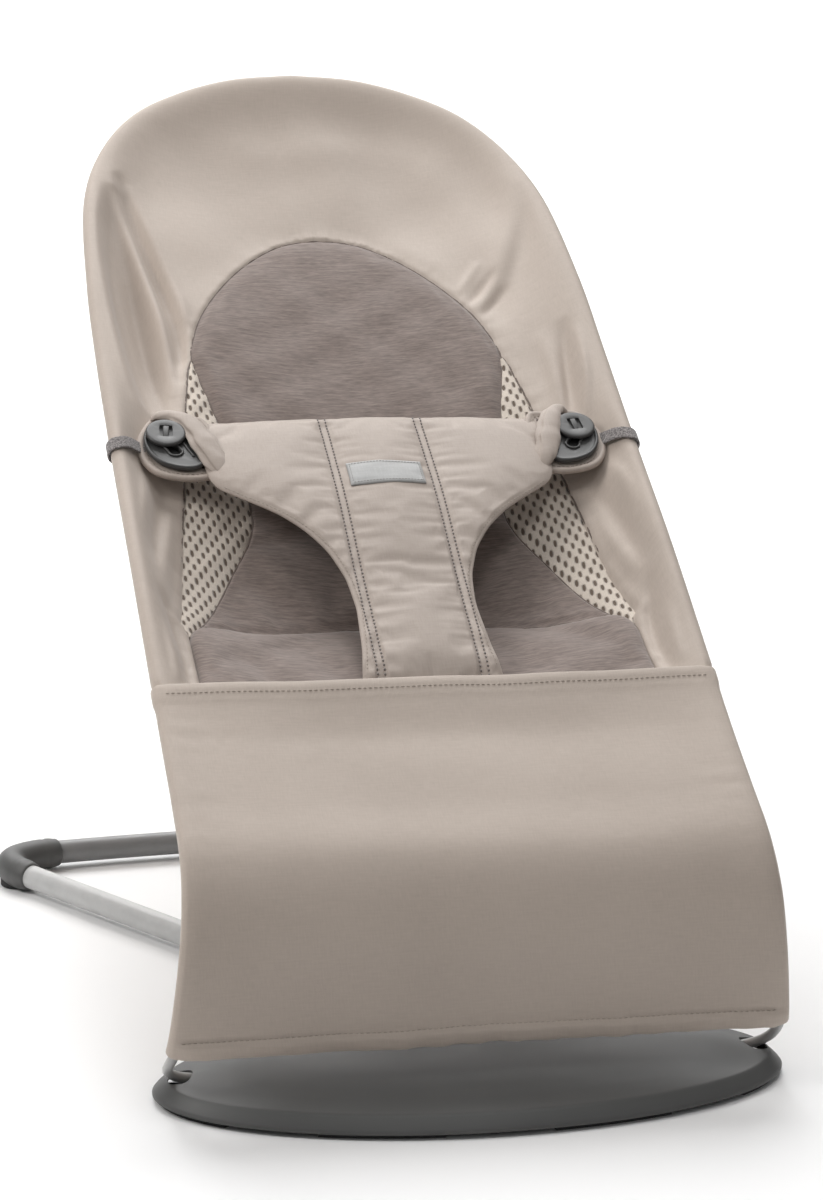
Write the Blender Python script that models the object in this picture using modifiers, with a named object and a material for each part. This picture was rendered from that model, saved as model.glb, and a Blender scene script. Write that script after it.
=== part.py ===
"""Baby bouncer seat: floor plate, rear floor frame, wire seat hoop with its sewn cover, and a fold-down stay.

Metres, +Z up, front faces -Y, mirrored about X = 0. Every coordinate below is measured from the
floor under the middle of the front plate's rear half; the empty "bouncer" shifts the whole
assembly so that the world origin is at the bottom centre of its box.
"""

import math

import bmesh
import bpy
from mathutils import Matrix, Vector

# ---------------------------------------------------------------- driving dimensions
BOX_CENTRE_Y = 0.3516          # shifts the assembly so that its box is centred on Y = 0
GAP = 0.0003                   # between pieces that touch
RUNNING_GAP = 0.0005           # round a shaft that turns

WIRE_RADIUS = 0.0032           # seat hoop
CROSS_WIRE_RADIUS = 0.0028
STAY_RADIUS = 0.0035
TUBE_RADIUS = 0.0085           # floor tubes
SLEEVE_RADIUS = 0.0112
TUBE_Z = 0.0118                # height of the floor tubes' centre line

PLATE_CENTRE_Y = 0.039
PLATE_HALF_WIDTH = 0.199
PLATE_HALF_DEPTH = 0.085
PLATE_BOTTOM_Z = 0.0033
PLATE_RIM_Z = 0.0130
PLATE_TOP_Z = 0.0215
PLATE_WALL = 0.003

HINGE_Y, HINGE_Z = 0.046, 0.0105        # the hoop's bottom run, which is the seat's hinge
STAY_Y, STAY_Z = 0.272, 0.0225          # the stay's hinge on the side tubes
STAY_ANGLE = math.radians(34.0)         # between hinge-to-hinge line and hinge-to-bar line
STAY_REACH = math.hypot(STAY_Y - HINGE_Y, STAY_Z - HINGE_Z)
FRAME_TILT = math.atan2(STAY_Z - HINGE_Z, STAY_Y - HINGE_Y)
RACK_ANGLE = STAY_ANGLE + FRAME_TILT    # slope of the line along which the stay's bar slides
BAR_DISTANCE = 2 * STAY_REACH * math.cos(STAY_ANGLE)

# Right-hand side of the hoop, from the middle of its bottom run to the top of its head: x, y, z.
HOOP_FOOT = [
    (0.000, 0.046, 0.0105),
    (0.100, 0.046, 0.0105),
    (0.150, 0.046, 0.0105),
    (0.172, 0.046, 0.0110),
    (0.1850, 0.0430, 0.0145),
    (0.1905, 0.0350, 0.0215),
    (0.1905, 0.0230, 0.0310),
]
HOOP_SIDE = [
    (0.1890, 0.0130, 0.0420),
    (0.1865, 0.0080, 0.0620),
    (0.1830, 0.0065, 0.0950),
    (0.1800, 0.0125, 0.1270),
    (0.1780, 0.0340, 0.1540),
    (0.1775, 0.0730, 0.1755),
    (0.1778, 0.1210, 0.2000),
    (0.1785, 0.1800, 0.2325),
    (0.1795, 0.2760, 0.2850),
    (0.1800, 0.3740, 0.3345),
    (0.1800, 0.4640, 0.3835),
    (0.1785, 0.5340, 0.4245),
    (0.1715, 0.6180, 0.4710),
    (0.1545, 0.6720, 0.5005),
    (0.1270, 0.7100, 0.5235),
    (0.0910, 0.7320, 0.5380),
    (0.0480, 0.7430, 0.5480),
    (0.0000, 0.7460, 0.5515),
]

# How far the seat surface hangs below the hoop's plane along the middle, against y.
SAG = [
    (0.165, 0.018), (0.200, 0.034), (0.240, 0.048), (0.275, 0.060), (0.310, 0.057), (0.370, 0.046),
    (0.450, 0.034), (0.530, 0.030), (0.620, 0.026), (0.700, 0.016), (0.751, 0.002),
]
# Half-widths of the padded inner panel and of the two mesh gussets' outer seam, against y.
PAD_HALF_WIDTH = [
    (0.182, 0.151), (0.234, 0.150), (0.262, 0.136), (0.310, 0.112), (0.345, 0.093), (0.370, 0.089),
    (0.410, 0.096), (0.450, 0.105), (0.487, 0.111), (0.521, 0.100), (0.572, 0.066), (0.600, 0.034),
    (0.612, 0.010),
]
GUSSET_HALF_WIDTH = [
    (0.234, 0.158), (0.262, 0.152), (0.296, 0.147), (0.334, 0.141), (0.368, 0.135), (0.430, 0.125),
    (0.480, 0.116),
]
# The restraint's middle line and half-width, against y.
HARNESS_START_Y, HARNESS_END_Y = 0.176, 0.412
HARNESS_HALF_WIDTH = [
    (0.176, 0.0470), (0.200, 0.0435), (0.235, 0.0405), (0.260, 0.0430), (0.282, 0.0510), (0.300, 0.0620),
    (0.316, 0.0760), (0.331, 0.0940), (0.345, 0.1110), (0.360, 0.1215), (0.380, 0.1240), (0.412, 0.1240),
]
HARNESS_FOOT_Z = 0.2195
HARNESS_SLOPE = 0.488
HARNESS_THICKNESS = 0.008
COVER_THICKNESS = 0.003
PAD_THICKNESS = 0.004
PAD_LIFT = 0.0028               # padded panel and gussets above the back panel's face

COLOURS = {
    "woven": (0.46, 0.39, 0.33, 0.85),
    "jersey": (0.36, 0.31, 0.27, 0.9),
    "mesh": (0.62, 0.53, 0.45, 0.85),
    "plastic": (0.095, 0.095, 0.090, 0.5),
    "button": (0.075, 0.075, 0.072, 0.35),
    "elastic": (0.16, 0.145, 0.14, 0.9),
    "label": (0.45, 0.45, 0.45, 0.6),
    "rubber": (0.03, 0.03, 0.03, 0.8),
    "light_paint": (0.42, 0.42, 0.42, 0.45),
    "dark_paint": (0.16, 0.16, 0.16, 0.45),
    "steel": (0.55, 0.55, 0.55, 0.3),
}
METALS = ("steel", "light_paint", "dark_paint")


# ---------------------------------------------------------------- scene and materials
for old in list(bpy.data.objects):
    bpy.data.objects.remove(old, do_unlink=True)

PARTS = bpy.data.collections.new("baby_bouncer")
CUTTERS = bpy.data.collections.new("cutters")
bpy.context.scene.collection.children.link(PARTS)
bpy.context.scene.collection.children.link(CUTTERS)
ORIGIN = bpy.data.objects.new("bouncer", None)
PARTS.objects.link(ORIGIN)
ORIGIN.location = (0, -BOX_CENTRE_Y, 0)


def material(name, slot):
    """A Principled material with the slot's colour and roughness."""
    made = bpy.data.materials.new(name)
    made.use_nodes = True
    shader = made.node_tree.nodes["Principled BSDF"]
    red, green, blue, roughness = COLOURS[slot]
    shader.inputs["Base Color"].default_value = (red, green, blue, 1)
    shader.inputs["Roughness"].default_value = roughness
    shader.inputs["Metallic"].default_value = 1.0 if slot in METALS else 0.0
    return made


def add(obj, slot):
    """Puts a finished object in the assembly, with a material of its own."""
    for collection in list(obj.users_collection):
        collection.objects.unlink(obj)
    PARTS.objects.link(obj)
    obj.parent = ORIGIN
    obj.data.materials.clear()
    obj.data.materials.append(material(obj.name, slot))
    if obj.type == "MESH":
        obj.data.shade_smooth()
        obj.data.set_sharp_from_angle(angle=math.radians(40))
    return obj


def as_cutter(obj):
    """Hides an object that only shapes others."""
    for collection in list(obj.users_collection):
        collection.objects.unlink(obj)
    CUTTERS.objects.link(obj)
    obj.parent = ORIGIN
    obj.hide_render = True
    obj.display_type = "WIRE"
    return obj


def cut(obj, cutter, operation="DIFFERENCE"):
    """Cuts a hidden helper out of an object, or joins it on."""
    boolean = obj.modifiers.new(cutter.name, "BOOLEAN")
    boolean.operation = operation
    boolean.object = cutter
    boolean.solver = "EXACT"


# ---------------------------------------------------------------- curves through points
def lookup(table, y):
    """Value of a (y, value) table at y, by straight lines between its rows."""
    if y <= table[0][0]:
        return table[0][1]
    for (y0, v0), (y1, v1) in zip(table, table[1:]):
        if y <= y1:
            return v0 + (v1 - v0) * (y - y0) / (y1 - y0)
    return table[-1][1]


def smooth(points, per_span):
    """Points of the Catmull-Rom curve through the given ones."""
    knots = [Vector(p) for p in points]
    ends = [2 * knots[0] - knots[1]] + knots + [2 * knots[-1] - knots[-2]]
    found = []
    for a, b, c, d in zip(ends, ends[1:], ends[2:], ends[3:]):
        for step in range(per_span):
            t = step / per_span
            found.append(
                0.5 * (2 * b + (c - a) * t + (2 * a - 5 * b + 4 * c - d) * t**2 + (3 * b - a - 3 * c + d) * t**3)
            )
    return found + [knots[-1]]


def mirrored(points):
    """The whole symmetric path from its right half, which starts or ends on X = 0."""
    left = [Vector((-p[0], p[1], p[2])) for p in points]
    return left[::-1] + [Vector(p) for p in points[1:]]


def curve_object(name, points, radius, resolution=2, cyclic=False):
    """A round wire or tube along the points."""
    data = bpy.data.curves.new(name, "CURVE")
    data.dimensions = "3D"
    data.bevel_depth = radius
    data.bevel_resolution = resolution
    data.use_fill_caps = not cyclic
    spline = data.splines.new("POLY")
    spline.points.add(len(points) - 1)
    for knot, point in zip(spline.points, points):
        knot.co = (*point, 1)
    spline.use_cyclic_u = cyclic
    obj = bpy.data.objects.new(name, data)
    bpy.context.scene.collection.objects.link(obj)
    return obj


def meshed(obj):
    """The same object as a closed mesh, so that Booleans can use it."""
    graph = bpy.context.evaluated_depsgraph_get()
    graph.update()
    mesh = bpy.data.meshes.new_from_object(obj.evaluated_get(graph))
    shape = bmesh.new()
    shape.from_mesh(mesh)
    bmesh.ops.remove_doubles(shape, verts=shape.verts, dist=1e-6)
    bmesh.ops.recalc_face_normals(shape, faces=shape.faces)
    shape.to_mesh(mesh)
    shape.free()
    name = obj.name
    matrix = obj.matrix_world.copy()
    bpy.data.objects.remove(obj, do_unlink=True)
    made = bpy.data.objects.new(name, mesh)
    made.matrix_world = matrix
    bpy.context.scene.collection.objects.link(made)
    return made


def tube(name, points, radius, resolution=2):
    """A closed round bar as a mesh."""
    return meshed(curve_object(name, points, radius, resolution))


# ---------------------------------------------------------------- basic solids
def from_bmesh(name, shape):
    mesh = bpy.data.meshes.new(name)
    shape.to_mesh(mesh)
    shape.free()
    obj = bpy.data.objects.new(name, mesh)
    bpy.context.scene.collection.objects.link(obj)
    return obj


def block(name, low, high, bevel=0.0):
    """A box between two corners, with its edges rounded by bevel."""
    low, high = Vector(low), Vector(high)
    shape = bmesh.new()
    bmesh.ops.create_cube(shape, size=1.0)
    bmesh.ops.scale(shape, vec=high - low, verts=shape.verts)
    bmesh.ops.translate(shape, vec=(low + high) / 2, verts=shape.verts)
    obj = from_bmesh(name, shape)
    if bevel:
        rounding = obj.modifiers.new("bevel", "BEVEL")
        rounding.width = bevel
        rounding.segments = 2
    return obj


def disc(name, radius, length, centre, axis, segments=24, bevel=0.0):
    """A round bar or disc about an axis through its centre."""
    shape = bmesh.new()
    bmesh.ops.create_cone(
        shape, cap_ends=True, segments=segments, radius1=radius, radius2=radius, depth=length
    )
    obj = from_bmesh(name, shape)
    obj.matrix_world = Matrix.Translation(centre) @ Vector(axis).to_track_quat("Z", "Y").to_matrix().to_4x4()
    if bevel:
        rounding = obj.modifiers.new("bevel", "BEVEL")
        rounding.width = bevel
        rounding.segments = 2
        rounding.limit_method = "ANGLE"
    return obj


def ring(name, inner, outer, length, centre):
    """A bush about an axis along X."""
    obj = disc(name, outer, length, centre, (1, 0, 0), 20)
    hole = as_cutter(disc(name + "_hole", inner, length * 2, centre, (1, 0, 0), 20))
    cut(obj, hole)
    return obj


def sheet(name, rows, thickness, upwards=True):
    """A closed panel of even thickness over a grid of points, one row after another."""
    shape = bmesh.new()
    grid = [[shape.verts.new(point) for point in row] for row in rows]
    for lower, upper in zip(grid, grid[1:]):
        for i in range(len(lower) - 1):
            shape.faces.new((lower[i], lower[i + 1], upper[i + 1], upper[i]))
    obj = from_bmesh(name, shape)
    thicken = obj.modifiers.new("thickness", "SOLIDIFY")
    thicken.thickness = thickness
    thicken.offset = 1 if upwards else -1
    return obj


def plane_outline(name, outline, thickness, matrix):
    """A flat plate from a closed 2D outline, centred on the matrix's XY plane."""
    data = bpy.data.curves.new(name, "CURVE")
    data.dimensions = "2D"
    data.fill_mode = "BOTH"
    data.extrude = thickness / 2
    spline = data.splines.new("POLY")
    spline.points.add(len(outline) - 1)
    for knot, (x, y) in zip(spline.points, outline):
        knot.co = (x, y, 0, 1)
    spline.use_cyclic_u = True
    obj = bpy.data.objects.new(name, data)
    bpy.context.scene.collection.objects.link(obj)
    obj.matrix_world = matrix
    bpy.context.view_layer.update()
    return meshed(obj)


# ---------------------------------------------------------------- floor plate
def ellipse(inset, z, count=48):
    """Points of the plate's outline, moved inwards by inset."""
    points = []
    for step in range(count):
        angle = 2 * math.pi * step / count
        x = (PLATE_HALF_WIDTH - inset) * math.cos(angle)
        y = PLATE_CENTRE_Y + (PLATE_HALF_DEPTH - inset) * math.sin(angle)
        points.append((x, y, z))
    return points


def base_plate():
    """A low crowned lens-shaped shell with a sloping skirt, open underneath."""
    profile = [(0.0010, PLATE_BOTTOM_Z), (0.0, 0.0060), (0.0065, 0.0115), (0.0100, PLATE_RIM_Z),
               (0.0160, 0.0148), (0.0360, 0.0188), (0.0640, PLATE_TOP_Z)]
    shape = bmesh.new()
    rings = [[shape.verts.new(point) for point in ellipse(inset, z)] for inset, z in profile]
    for lower, upper in zip(rings, rings[1:]):
        for i in range(len(lower)):
            j = (i + 1) % len(lower)
            shape.faces.new((lower[i], lower[j], upper[j], upper[i]))
    shape.faces.new(rings[-1])
    obj = from_bmesh("base_plate", shape)
    thicken = obj.modifiers.new("wall", "SOLIDIFY")
    thicken.thickness = PLATE_WALL
    thicken.offset = -1
    for side in (-1, 1):
        xs = sorted((side * 0.1640, side * 0.2100))
        slot = as_cutter(block(f"wire_slot_{side}", (xs[0], 0.0300, -0.01), (xs[1], 0.0560, 0.04)))
        cut(obj, slot)
    socket_mouth = as_cutter(block("socket_mouth", (-0.080, 0.0860, -0.01), (0.080, 0.150, 0.0125)))
    cut(obj, socket_mouth)
    return add(obj, "plastic")


def pad_outline(start, end, count=8):
    """A crescent under the skirt between two angles of the plate's outline, in degrees."""
    outer, inner = [], []
    for step in range(count + 1):
        angle = math.radians(start + (end - start) * step / count)
        for row, inset in ((outer, 0.004), (inner, 0.017)):
            x = (PLATE_HALF_WIDTH - inset) * math.cos(angle)
            y = PLATE_CENTRE_Y + (PLATE_HALF_DEPTH - inset) * math.sin(angle)
            row.append((x, y))
    return outer + inner[::-1]


def plate_pads():
    """Four rubber pads that keep the plate from sliding."""
    spans = {
        "plate_pad_left": (164, 214),
        "plate_pad_right": (-34, 16),
        "plate_pad_front_left": (236, 260),
        "plate_pad_front_right": (-80, -56),
    }
    thickness = PLATE_BOTTOM_Z - GAP
    for name, (start, end) in spans.items():
        place = Matrix.Translation((0, 0, thickness / 2))
        add(plane_outline(name, pad_outline(start, end), thickness, place), "rubber")


def hinge_hardware():
    """Bushes on the hoop's bottom run, and the saddles that hold them in the plate."""
    for side, word in ((-1, "left"), (1, "right")):
        x = side * 0.105
        centre = (x, HINGE_Y, HINGE_Z)
        bush = ring(f"torsion_bush_{word}", WIRE_RADIUS + RUNNING_GAP, 0.0068, 0.022, centre)
        add(bush, "rubber")
        low = (x - 0.010, HINGE_Y - 0.018, PLATE_BOTTOM_Z - 0.0006)
        high = (x + 0.010, HINGE_Y + 0.014, HINGE_Z - 0.0002)
        saddle = block(f"bush_saddle_{word}", low, high)
        cut(saddle, as_cutter(disc(f"saddle_seat_{word}", 0.0068 + GAP, 0.05, centre, (1, 0, 0), 20)))
        screw_centre = (x, HINGE_Y - 0.013, PLATE_BOTTOM_Z - 0.0006)
        bore = disc(f"saddle_bore_{word}", 0.0021, 0.060, screw_centre, (0, 0, 1), 12)
        cut(saddle, as_cutter(bore))
        add(saddle, "plastic")
        screw = disc(f"saddle_screw_{word}", 0.0018, 0.0102, (x, HINGE_Y - 0.013, 0.0088), (0, 0, 1), 12)
        add(screw, "steel")


# ---------------------------------------------------------------- rear floor frame
SIDE_TUBE = [
    (0.050, 0.1295, TUBE_Z), (0.050, 0.145, TUBE_Z), (0.053, 0.162, TUBE_Z), (0.066, 0.190, TUBE_Z),
    (0.090, 0.222, TUBE_Z), (0.1445, 0.298, TUBE_Z), (0.2000, 0.3785, TUBE_Z), (0.2360, 0.4310, TUBE_Z),
]
ELBOW = [
    (0.2365, 0.4318, TUBE_Z), (0.2450, 0.4442, TUBE_Z), (0.2480, 0.4560, TUBE_Z),
    (0.2445, 0.4680, TUBE_Z), (0.2330, 0.4770, TUBE_Z), (0.2128, 0.4838, TUBE_Z),
]
CROSSBAR_END = (0.2112, 0.4842)
CROSSBAR_BOW = 0.014


def crossbar_points(count=16):
    """The rear bar, which bows gently backwards."""
    half, y = CROSSBAR_END
    points = []
    for step in range(count + 1):
        x = -half + 2 * half * step / count
        points.append((x, y + CROSSBAR_BOW * (1 - (x / half) ** 2), TUBE_Z))
    return points


def sided(points, side):
    return [(side * p[0], p[1], p[2]) for p in points]


def floor_frame():
    """Two splayed side tubes, the rear bar, and the moulded elbows that join them."""
    add(tube("rear_crossbar", crossbar_points(), TUBE_RADIUS, 3), "dark_paint")
    for side, word in ((-1, "left"), (1, "right")):
        path = smooth(sided(SIDE_TUBE, side), 3)
        add(tube(f"side_tube_{word}", path, TUBE_RADIUS, 3), "light_paint")
        bend = smooth(sided(ELBOW, side), 2)
        add(tube(f"corner_sleeve_{word}", bend, SLEEVE_RADIUS, 3), "plastic")
        centre = (side * 0.2445, 0.4500, 0.0035)
        foot = disc(f"rear_foot_{word}", 0.0120, 0.0070, centre, (0, 0, 1), 24, 0.0012)
        grown = tube(f"foot_saddle_{word}", bend, SLEEVE_RADIUS + GAP, 3)
        cut(foot, as_cutter(grown))
        add(foot, "rubber")


def tube_socket():
    """The moulded bridge at the back of the plate that both side tubes plug into."""
    body = block("tube_socket", (-0.076, 0.0900, 0.0010), (0.076, 0.1560, 0.0250), 0.003)
    for side, word in ((-1, "left"), (1, "right")):
        path = [Vector((side * 0.050, 0.1292, TUBE_Z))] + smooth(sided(SIDE_TUBE, side), 3)[1:]
        cut(body, as_cutter(tube(f"socket_bore_{word}", path, TUBE_RADIUS + GAP, 3)))
    clear_plate = block("socket_step", (-0.10, 0.050, 0.0120), (0.10, 0.1250, 0.040))
    cut(body, as_cutter(clear_plate))
    add(body, "plastic")


def stay_brackets():
    """Brackets clamped on the side tubes, each with the bush that the stay turns in."""
    for side, word in ((-1, "left"), (1, "right")):
        xs = sorted((side * 0.1035, side * 0.1410))
        low = (xs[0], STAY_Y - 0.013, 0.0020)
        high = (xs[1], STAY_Y + 0.013, 0.0315)
        body = block(f"stay_bracket_{word}", low, high, 0.003)
        path = smooth(sided(SIDE_TUBE, side), 3)
        cut(body, as_cutter(tube(f"bracket_bore_{word}", path, TUBE_RADIUS + GAP, 3)))
        bore_centre = (side * 0.1030, STAY_Y, STAY_Z)
        cut(body, as_cutter(disc(f"bush_bore_{word}", 0.0062 + GAP, 0.0130, bore_centre, (1, 0, 0), 20)))
        add(body, "plastic")
        centre = (side * 0.1060, STAY_Y, STAY_Z)
        add(ring(f"pivot_bush_{word}", STAY_RADIUS + RUNNING_GAP, 0.0062, 0.0060, centre), "rubber")


# ---------------------------------------------------------------- seat hoop and what it carries
HOOP_SAMPLES = smooth(HOOP_SIDE, 6)


def hoop_at(y):
    """The right-hand side of the hoop where it passes y, above the front bend."""
    for low, high in zip(HOOP_SAMPLES, HOOP_SAMPLES[1:]):
        if low.z > 0.13 and low.y <= y <= high.y:
            share = (y - low.y) / (high.y - low.y)
            return low.lerp(high, share)
    return HOOP_SAMPLES[-1]


def hoop_normal(y):
    """Unit vector square to the hoop's plane at y, pointing down and back."""
    ahead = hoop_at(y + 0.01) - hoop_at(y - 0.01)
    return Vector((0, ahead.z, -ahead.y)).normalized()


def seat_hoop():
    """One closed loop of spring wire."""
    foot = [Vector(p) for p in HOOP_FOOT]
    half = smooth(foot + [Vector(p) for p in HOOP_SIDE], 3)
    loop = mirrored(half)
    add(curve_object("seat_hoop", loop[:-1], WIRE_RADIUS, 1, cyclic=True), "light_paint")


def rack_point(distance, height):
    """A point in the seat's middle plane: along the bar's sliding line, and square above it."""
    y = HINGE_Y + distance * math.cos(RACK_ANGLE) - height * math.sin(RACK_ANGLE)
    z = HINGE_Z + distance * math.sin(RACK_ANGLE) + height * math.cos(RACK_ANGLE)
    return Vector((0, y, z))


RACK_BASE = STAY_RADIUS + 0.0010       # underside of the rack above the bar's centre
RACK_HEIGHT = 0.016
RACK_START, RACK_END = BAR_DISTANCE - 0.014, BAR_DISTANCE + 0.128
RACK_HALF_WIDTH = 0.006
RACK_X = 0.056
WIRE_DISTANCES = {"lower": BAR_DISTANCE + 0.0165, "upper": BAR_DISTANCE + 0.116}
RECLINE_STEPS = (0.0, 10.0, 19.0, 32.0)    # play, rest, sleep and stowed, in degrees


def bar_distance(step):
    """Where the stay's bar lies along the rack when the seat is turned down by step degrees."""
    return 2 * STAY_REACH * math.cos(STAY_ANGLE - math.radians(step))


def rack_matrix(x, distance, height):
    along = Matrix.Rotation(RACK_ANGLE, 4, "X")
    return Matrix.Translation(rack_point(distance, height) + Vector((x, 0, 0))) @ along


def racks():
    """Two notched rails behind the seat; the stay's bar props one of their notches."""
    length = RACK_END - RACK_START
    middle = (RACK_START + RACK_END) / 2
    for side, word in ((-1, "left"), (1, "right")):
        x = side * RACK_X
        half = Vector((RACK_HALF_WIDTH, length / 2, RACK_HEIGHT / 2))
        rail = block(f"recline_rack_{word}", -half, half, 0.0015)
        rail.matrix_world = rack_matrix(x, middle, RACK_BASE + RACK_HEIGHT / 2)
        for number, step in enumerate(RECLINE_STEPS):
            centre = rack_point(bar_distance(step), RACK_BASE + 0.0010) + Vector((x, 0, 0))
            notch = disc(f"notch_{word}_{number}", 0.0048, 0.03, centre, (1, 0, 0), 16)
            cut(rail, as_cutter(notch))
        for level, distance in WIRE_DISTANCES.items():
            centre = rack_point(distance, RACK_BASE + RACK_HEIGHT * 0.62) + Vector((x, 0, 0))
            bore = disc(f"wire_bore_{word}_{level}", CROSS_WIRE_RADIUS + GAP, 0.03, centre, (1, 0, 0), 16)
            cut(rail, as_cutter(bore))
        add(rail, "plastic")


def cross_wires():
    """Two wires that hang from the hoop's sides, clear of the sagging seat, and carry the racks."""
    for level, distance in WIRE_DISTANCES.items():
        middle = rack_point(distance, RACK_BASE + RACK_HEIGHT * 0.62)
        y = middle.y
        for _ in range(12):
            normal = hoop_normal(y)
            anchor = hoop_at(y)
            depth = (middle - Vector((0, anchor.y, anchor.z))).dot(normal)
            y = middle.y - depth * normal.y
        top = Vector((anchor.x, anchor.y, anchor.z)) + normal * (WIRE_RADIUS + CROSS_WIRE_RADIUS + GAP)
        right = [
            middle,
            middle + Vector((0.080, 0, 0)),
            middle + Vector((0.135, 0, 0)),
            middle + Vector((0.160, 0, 0)) - normal * 0.010,
            middle + Vector((0.174, 0, 0)) - normal * (depth * 0.5),
            top,
        ]
        add(tube(f"cross_wire_{level}", mirrored(smooth(right, 4)), CROSS_WIRE_RADIUS, 1), "light_paint")


def support_stay():
    """A U of wire hinged on the side tubes; its bar props the racks."""
    lean = FRAME_TILT + 2 * STAY_ANGLE
    up = Vector((0, math.cos(lean), math.sin(lean)))
    foot = Vector((0, STAY_Y, STAY_Z))
    outline = [
        (0.0, STAY_REACH), (0.050, STAY_REACH), (0.069, STAY_REACH), (0.083, STAY_REACH - 0.005),
        (0.0895, STAY_REACH - 0.018), (0.0920, STAY_REACH - 0.060), (0.0935, 0.060), (0.0945, 0.016),
        (0.0965, 0.004), (0.1010, 0.0), (0.1085, 0.0),
    ]
    right = [foot + up * reach + Vector((x, 0, 0)) for x, reach in outline]
    points = mirrored(smooth(right, 3))
    add(tube("support_stay", points, STAY_RADIUS, 2), "light_paint")
    centre = foot + up * STAY_REACH
    add(ring("stay_grip", STAY_RADIUS + GAP, 0.0062, 0.076, centre), "plastic")


# ---------------------------------------------------------------- sewn cover
def sag_shape(u, y):
    """Share of the sag at u, from 1 in the middle to 0 at the hoop: boxy in the seat, round in the back."""
    power = 0.45 + 0.40 * min(1.0, max(0.0, (y - 0.30) / 0.15))
    return max(0.0, 1 - u * u) ** power


def seat_surface(x, y):
    """Point of the seat surface under the hoop's plane."""
    edge = hoop_at(y)
    u = min(1.0, abs(x) / (edge.x - WIRE_RADIUS))
    return Vector((x, edge.y, edge.z - lookup(SAG, y) * sag_shape(u, y)))


def spread(start, end, count):
    return [start + (end - start) * step / count for step in range(count + 1)]


def cover_back():
    """The seat and back panel, hung between the hoop's sides."""
    columns = [math.sin(math.pi / 2 * u) for u in spread(-1, 1, 14)]
    rows = []
    for y in spread(0.165, 0.700, 16) + [0.722, 0.738]:
        margin = WIRE_RADIUS + 0.0030 + 0.14 * max(0.0, y - 0.66)
        half = hoop_at(y).x - margin
        rows.append([seat_surface(u * half, y) for u in columns])
    add(sheet("cover_back", rows, COVER_THICKNESS, upwards=False), "woven")


def lifted(point, y, height):
    """A point moved square off the seat surface, towards the sitter."""
    return point - hoop_normal(y) * height


def inner_pad():
    """The padded inner panel that the child lies on."""
    rows = []
    for y in spread(0.186, 0.611, 20):
        half = lookup(PAD_HALF_WIDTH, y)
        rows.append([lifted(seat_surface(u * half, y), y, PAD_LIFT) for u in spread(-1, 1, 10)])
    add(sheet("inner_pad", rows, PAD_THICKNESS), "jersey")


def mesh_gussets():
    """The two crescents of open spacer mesh beside the padded panel."""
    for side, word in ((-1, "left"), (1, "right")):
        rows = []
        for y in spread(0.244, 0.478, 12):
            inner = lookup(PAD_HALF_WIDTH, y) + 0.0020
            outer = max(lookup(GUSSET_HALF_WIDTH, y), inner + 0.004)
            xs = spread(inner, outer, 3)
            if side < 0:
                xs = [-x for x in reversed(xs)]
            rows.append([lifted(seat_surface(x, y), y, PAD_LIFT) for x in xs])
        add(sheet(f"mesh_gusset_{word}", rows, 0.0020), "mesh")


def leg_panel():
    """The front panel, from the band above the child's knees down to the hem at the plate."""
    columns = spread(-1, 1, 12)
    rows = []
    for edge in HOOP_SAMPLES:
        if edge.y > 0.165 and edge.z > 0.13:
            break
        rows.append([Vector((u * (edge.x - WIRE_RADIUS - 0.0030), edge.y, edge.z)) for u in columns])
    rows = rows[::2] + ([rows[-1]] if len(rows) % 2 == 0 else [])
    add(sheet("leg_panel", rows, COVER_THICKNESS), "woven")


# ---------------------------------------------------------------- restraint
def harness_point(x, y):
    """The restraint's lower face: a flat sling that lifts towards its ears."""
    share = (y - HARNESS_START_Y) / (HARNESS_END_Y - HARNESS_START_Y)
    z = HARNESS_FOOT_Z + HARNESS_SLOPE * (y - HARNESS_START_Y)
    z += 0.004 * math.sin(math.pi * share) + 0.007 * (x / 0.133) ** 2
    return Vector((x, y, z))


def harness():
    """The padded T between the child's legs, and its blank sewn label."""
    rows = []
    for y in spread(HARNESS_START_Y, HARNESS_END_Y, 22):
        half = lookup(HARNESS_HALF_WIDTH, y)
        rows.append([harness_point(u * half, y) for u in spread(-1, 1, 10)])
    add(sheet("harness_panel", rows, HARNESS_THICKNESS), "woven")
    rows = []
    for y in (0.340, 0.350, 0.360):
        normal = Vector((0, -HARNESS_SLOPE, 1)).normalized()
        lift = normal * (HARNESS_THICKNESS + 0.0008)
        rows.append([harness_point(x, y) + lift for x in spread(-0.026, 0.026, 4)])
    add(sheet("harness_label", rows, 0.0010), "label")


KEYHOLE_CENTRE = (0.1455, 0.3830)
BUTTON_CENTRE = (0.1455, 0.3895)
PLATE_LIFT = -0.0045           # keyhole plate off the hoop's plane at its centre
ANCHOR_X, ANCHOR_HALF = 0.1405, 0.0065
ANCHOR_LIFT = PLATE_LIFT - 0.0050
STRAP_END_Y = 0.3745           # where the elastic goes round the hoop
STRAP_WRAP = 0.0078


def strap_frame(side, x, y, lift):
    """Axes on the hoop's plane: X outwards to the right, Y up the slope, Z off the seat."""
    edge = hoop_at(y)
    normal = -hoop_normal(y)
    up = Vector((1, 0, 0)).cross(normal) * -1
    place = Matrix((Vector((1, 0, 0)), up, normal)).transposed().to_4x4()
    return Matrix.Translation(Vector((side * x, edge.y, edge.z)) + normal * lift) @ place


def keyhole_outline(count=28):
    """An egg: wide at the button, narrower towards the release hole."""
    points = []
    for step in range(count):
        angle = 2 * math.pi * step / count
        narrowing = 1 - 0.12 * (1 - math.sin(angle)) / 2
        points.append((0.0210 * narrowing * math.cos(angle), 0.0235 * math.sin(angle)))
    return points


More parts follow.
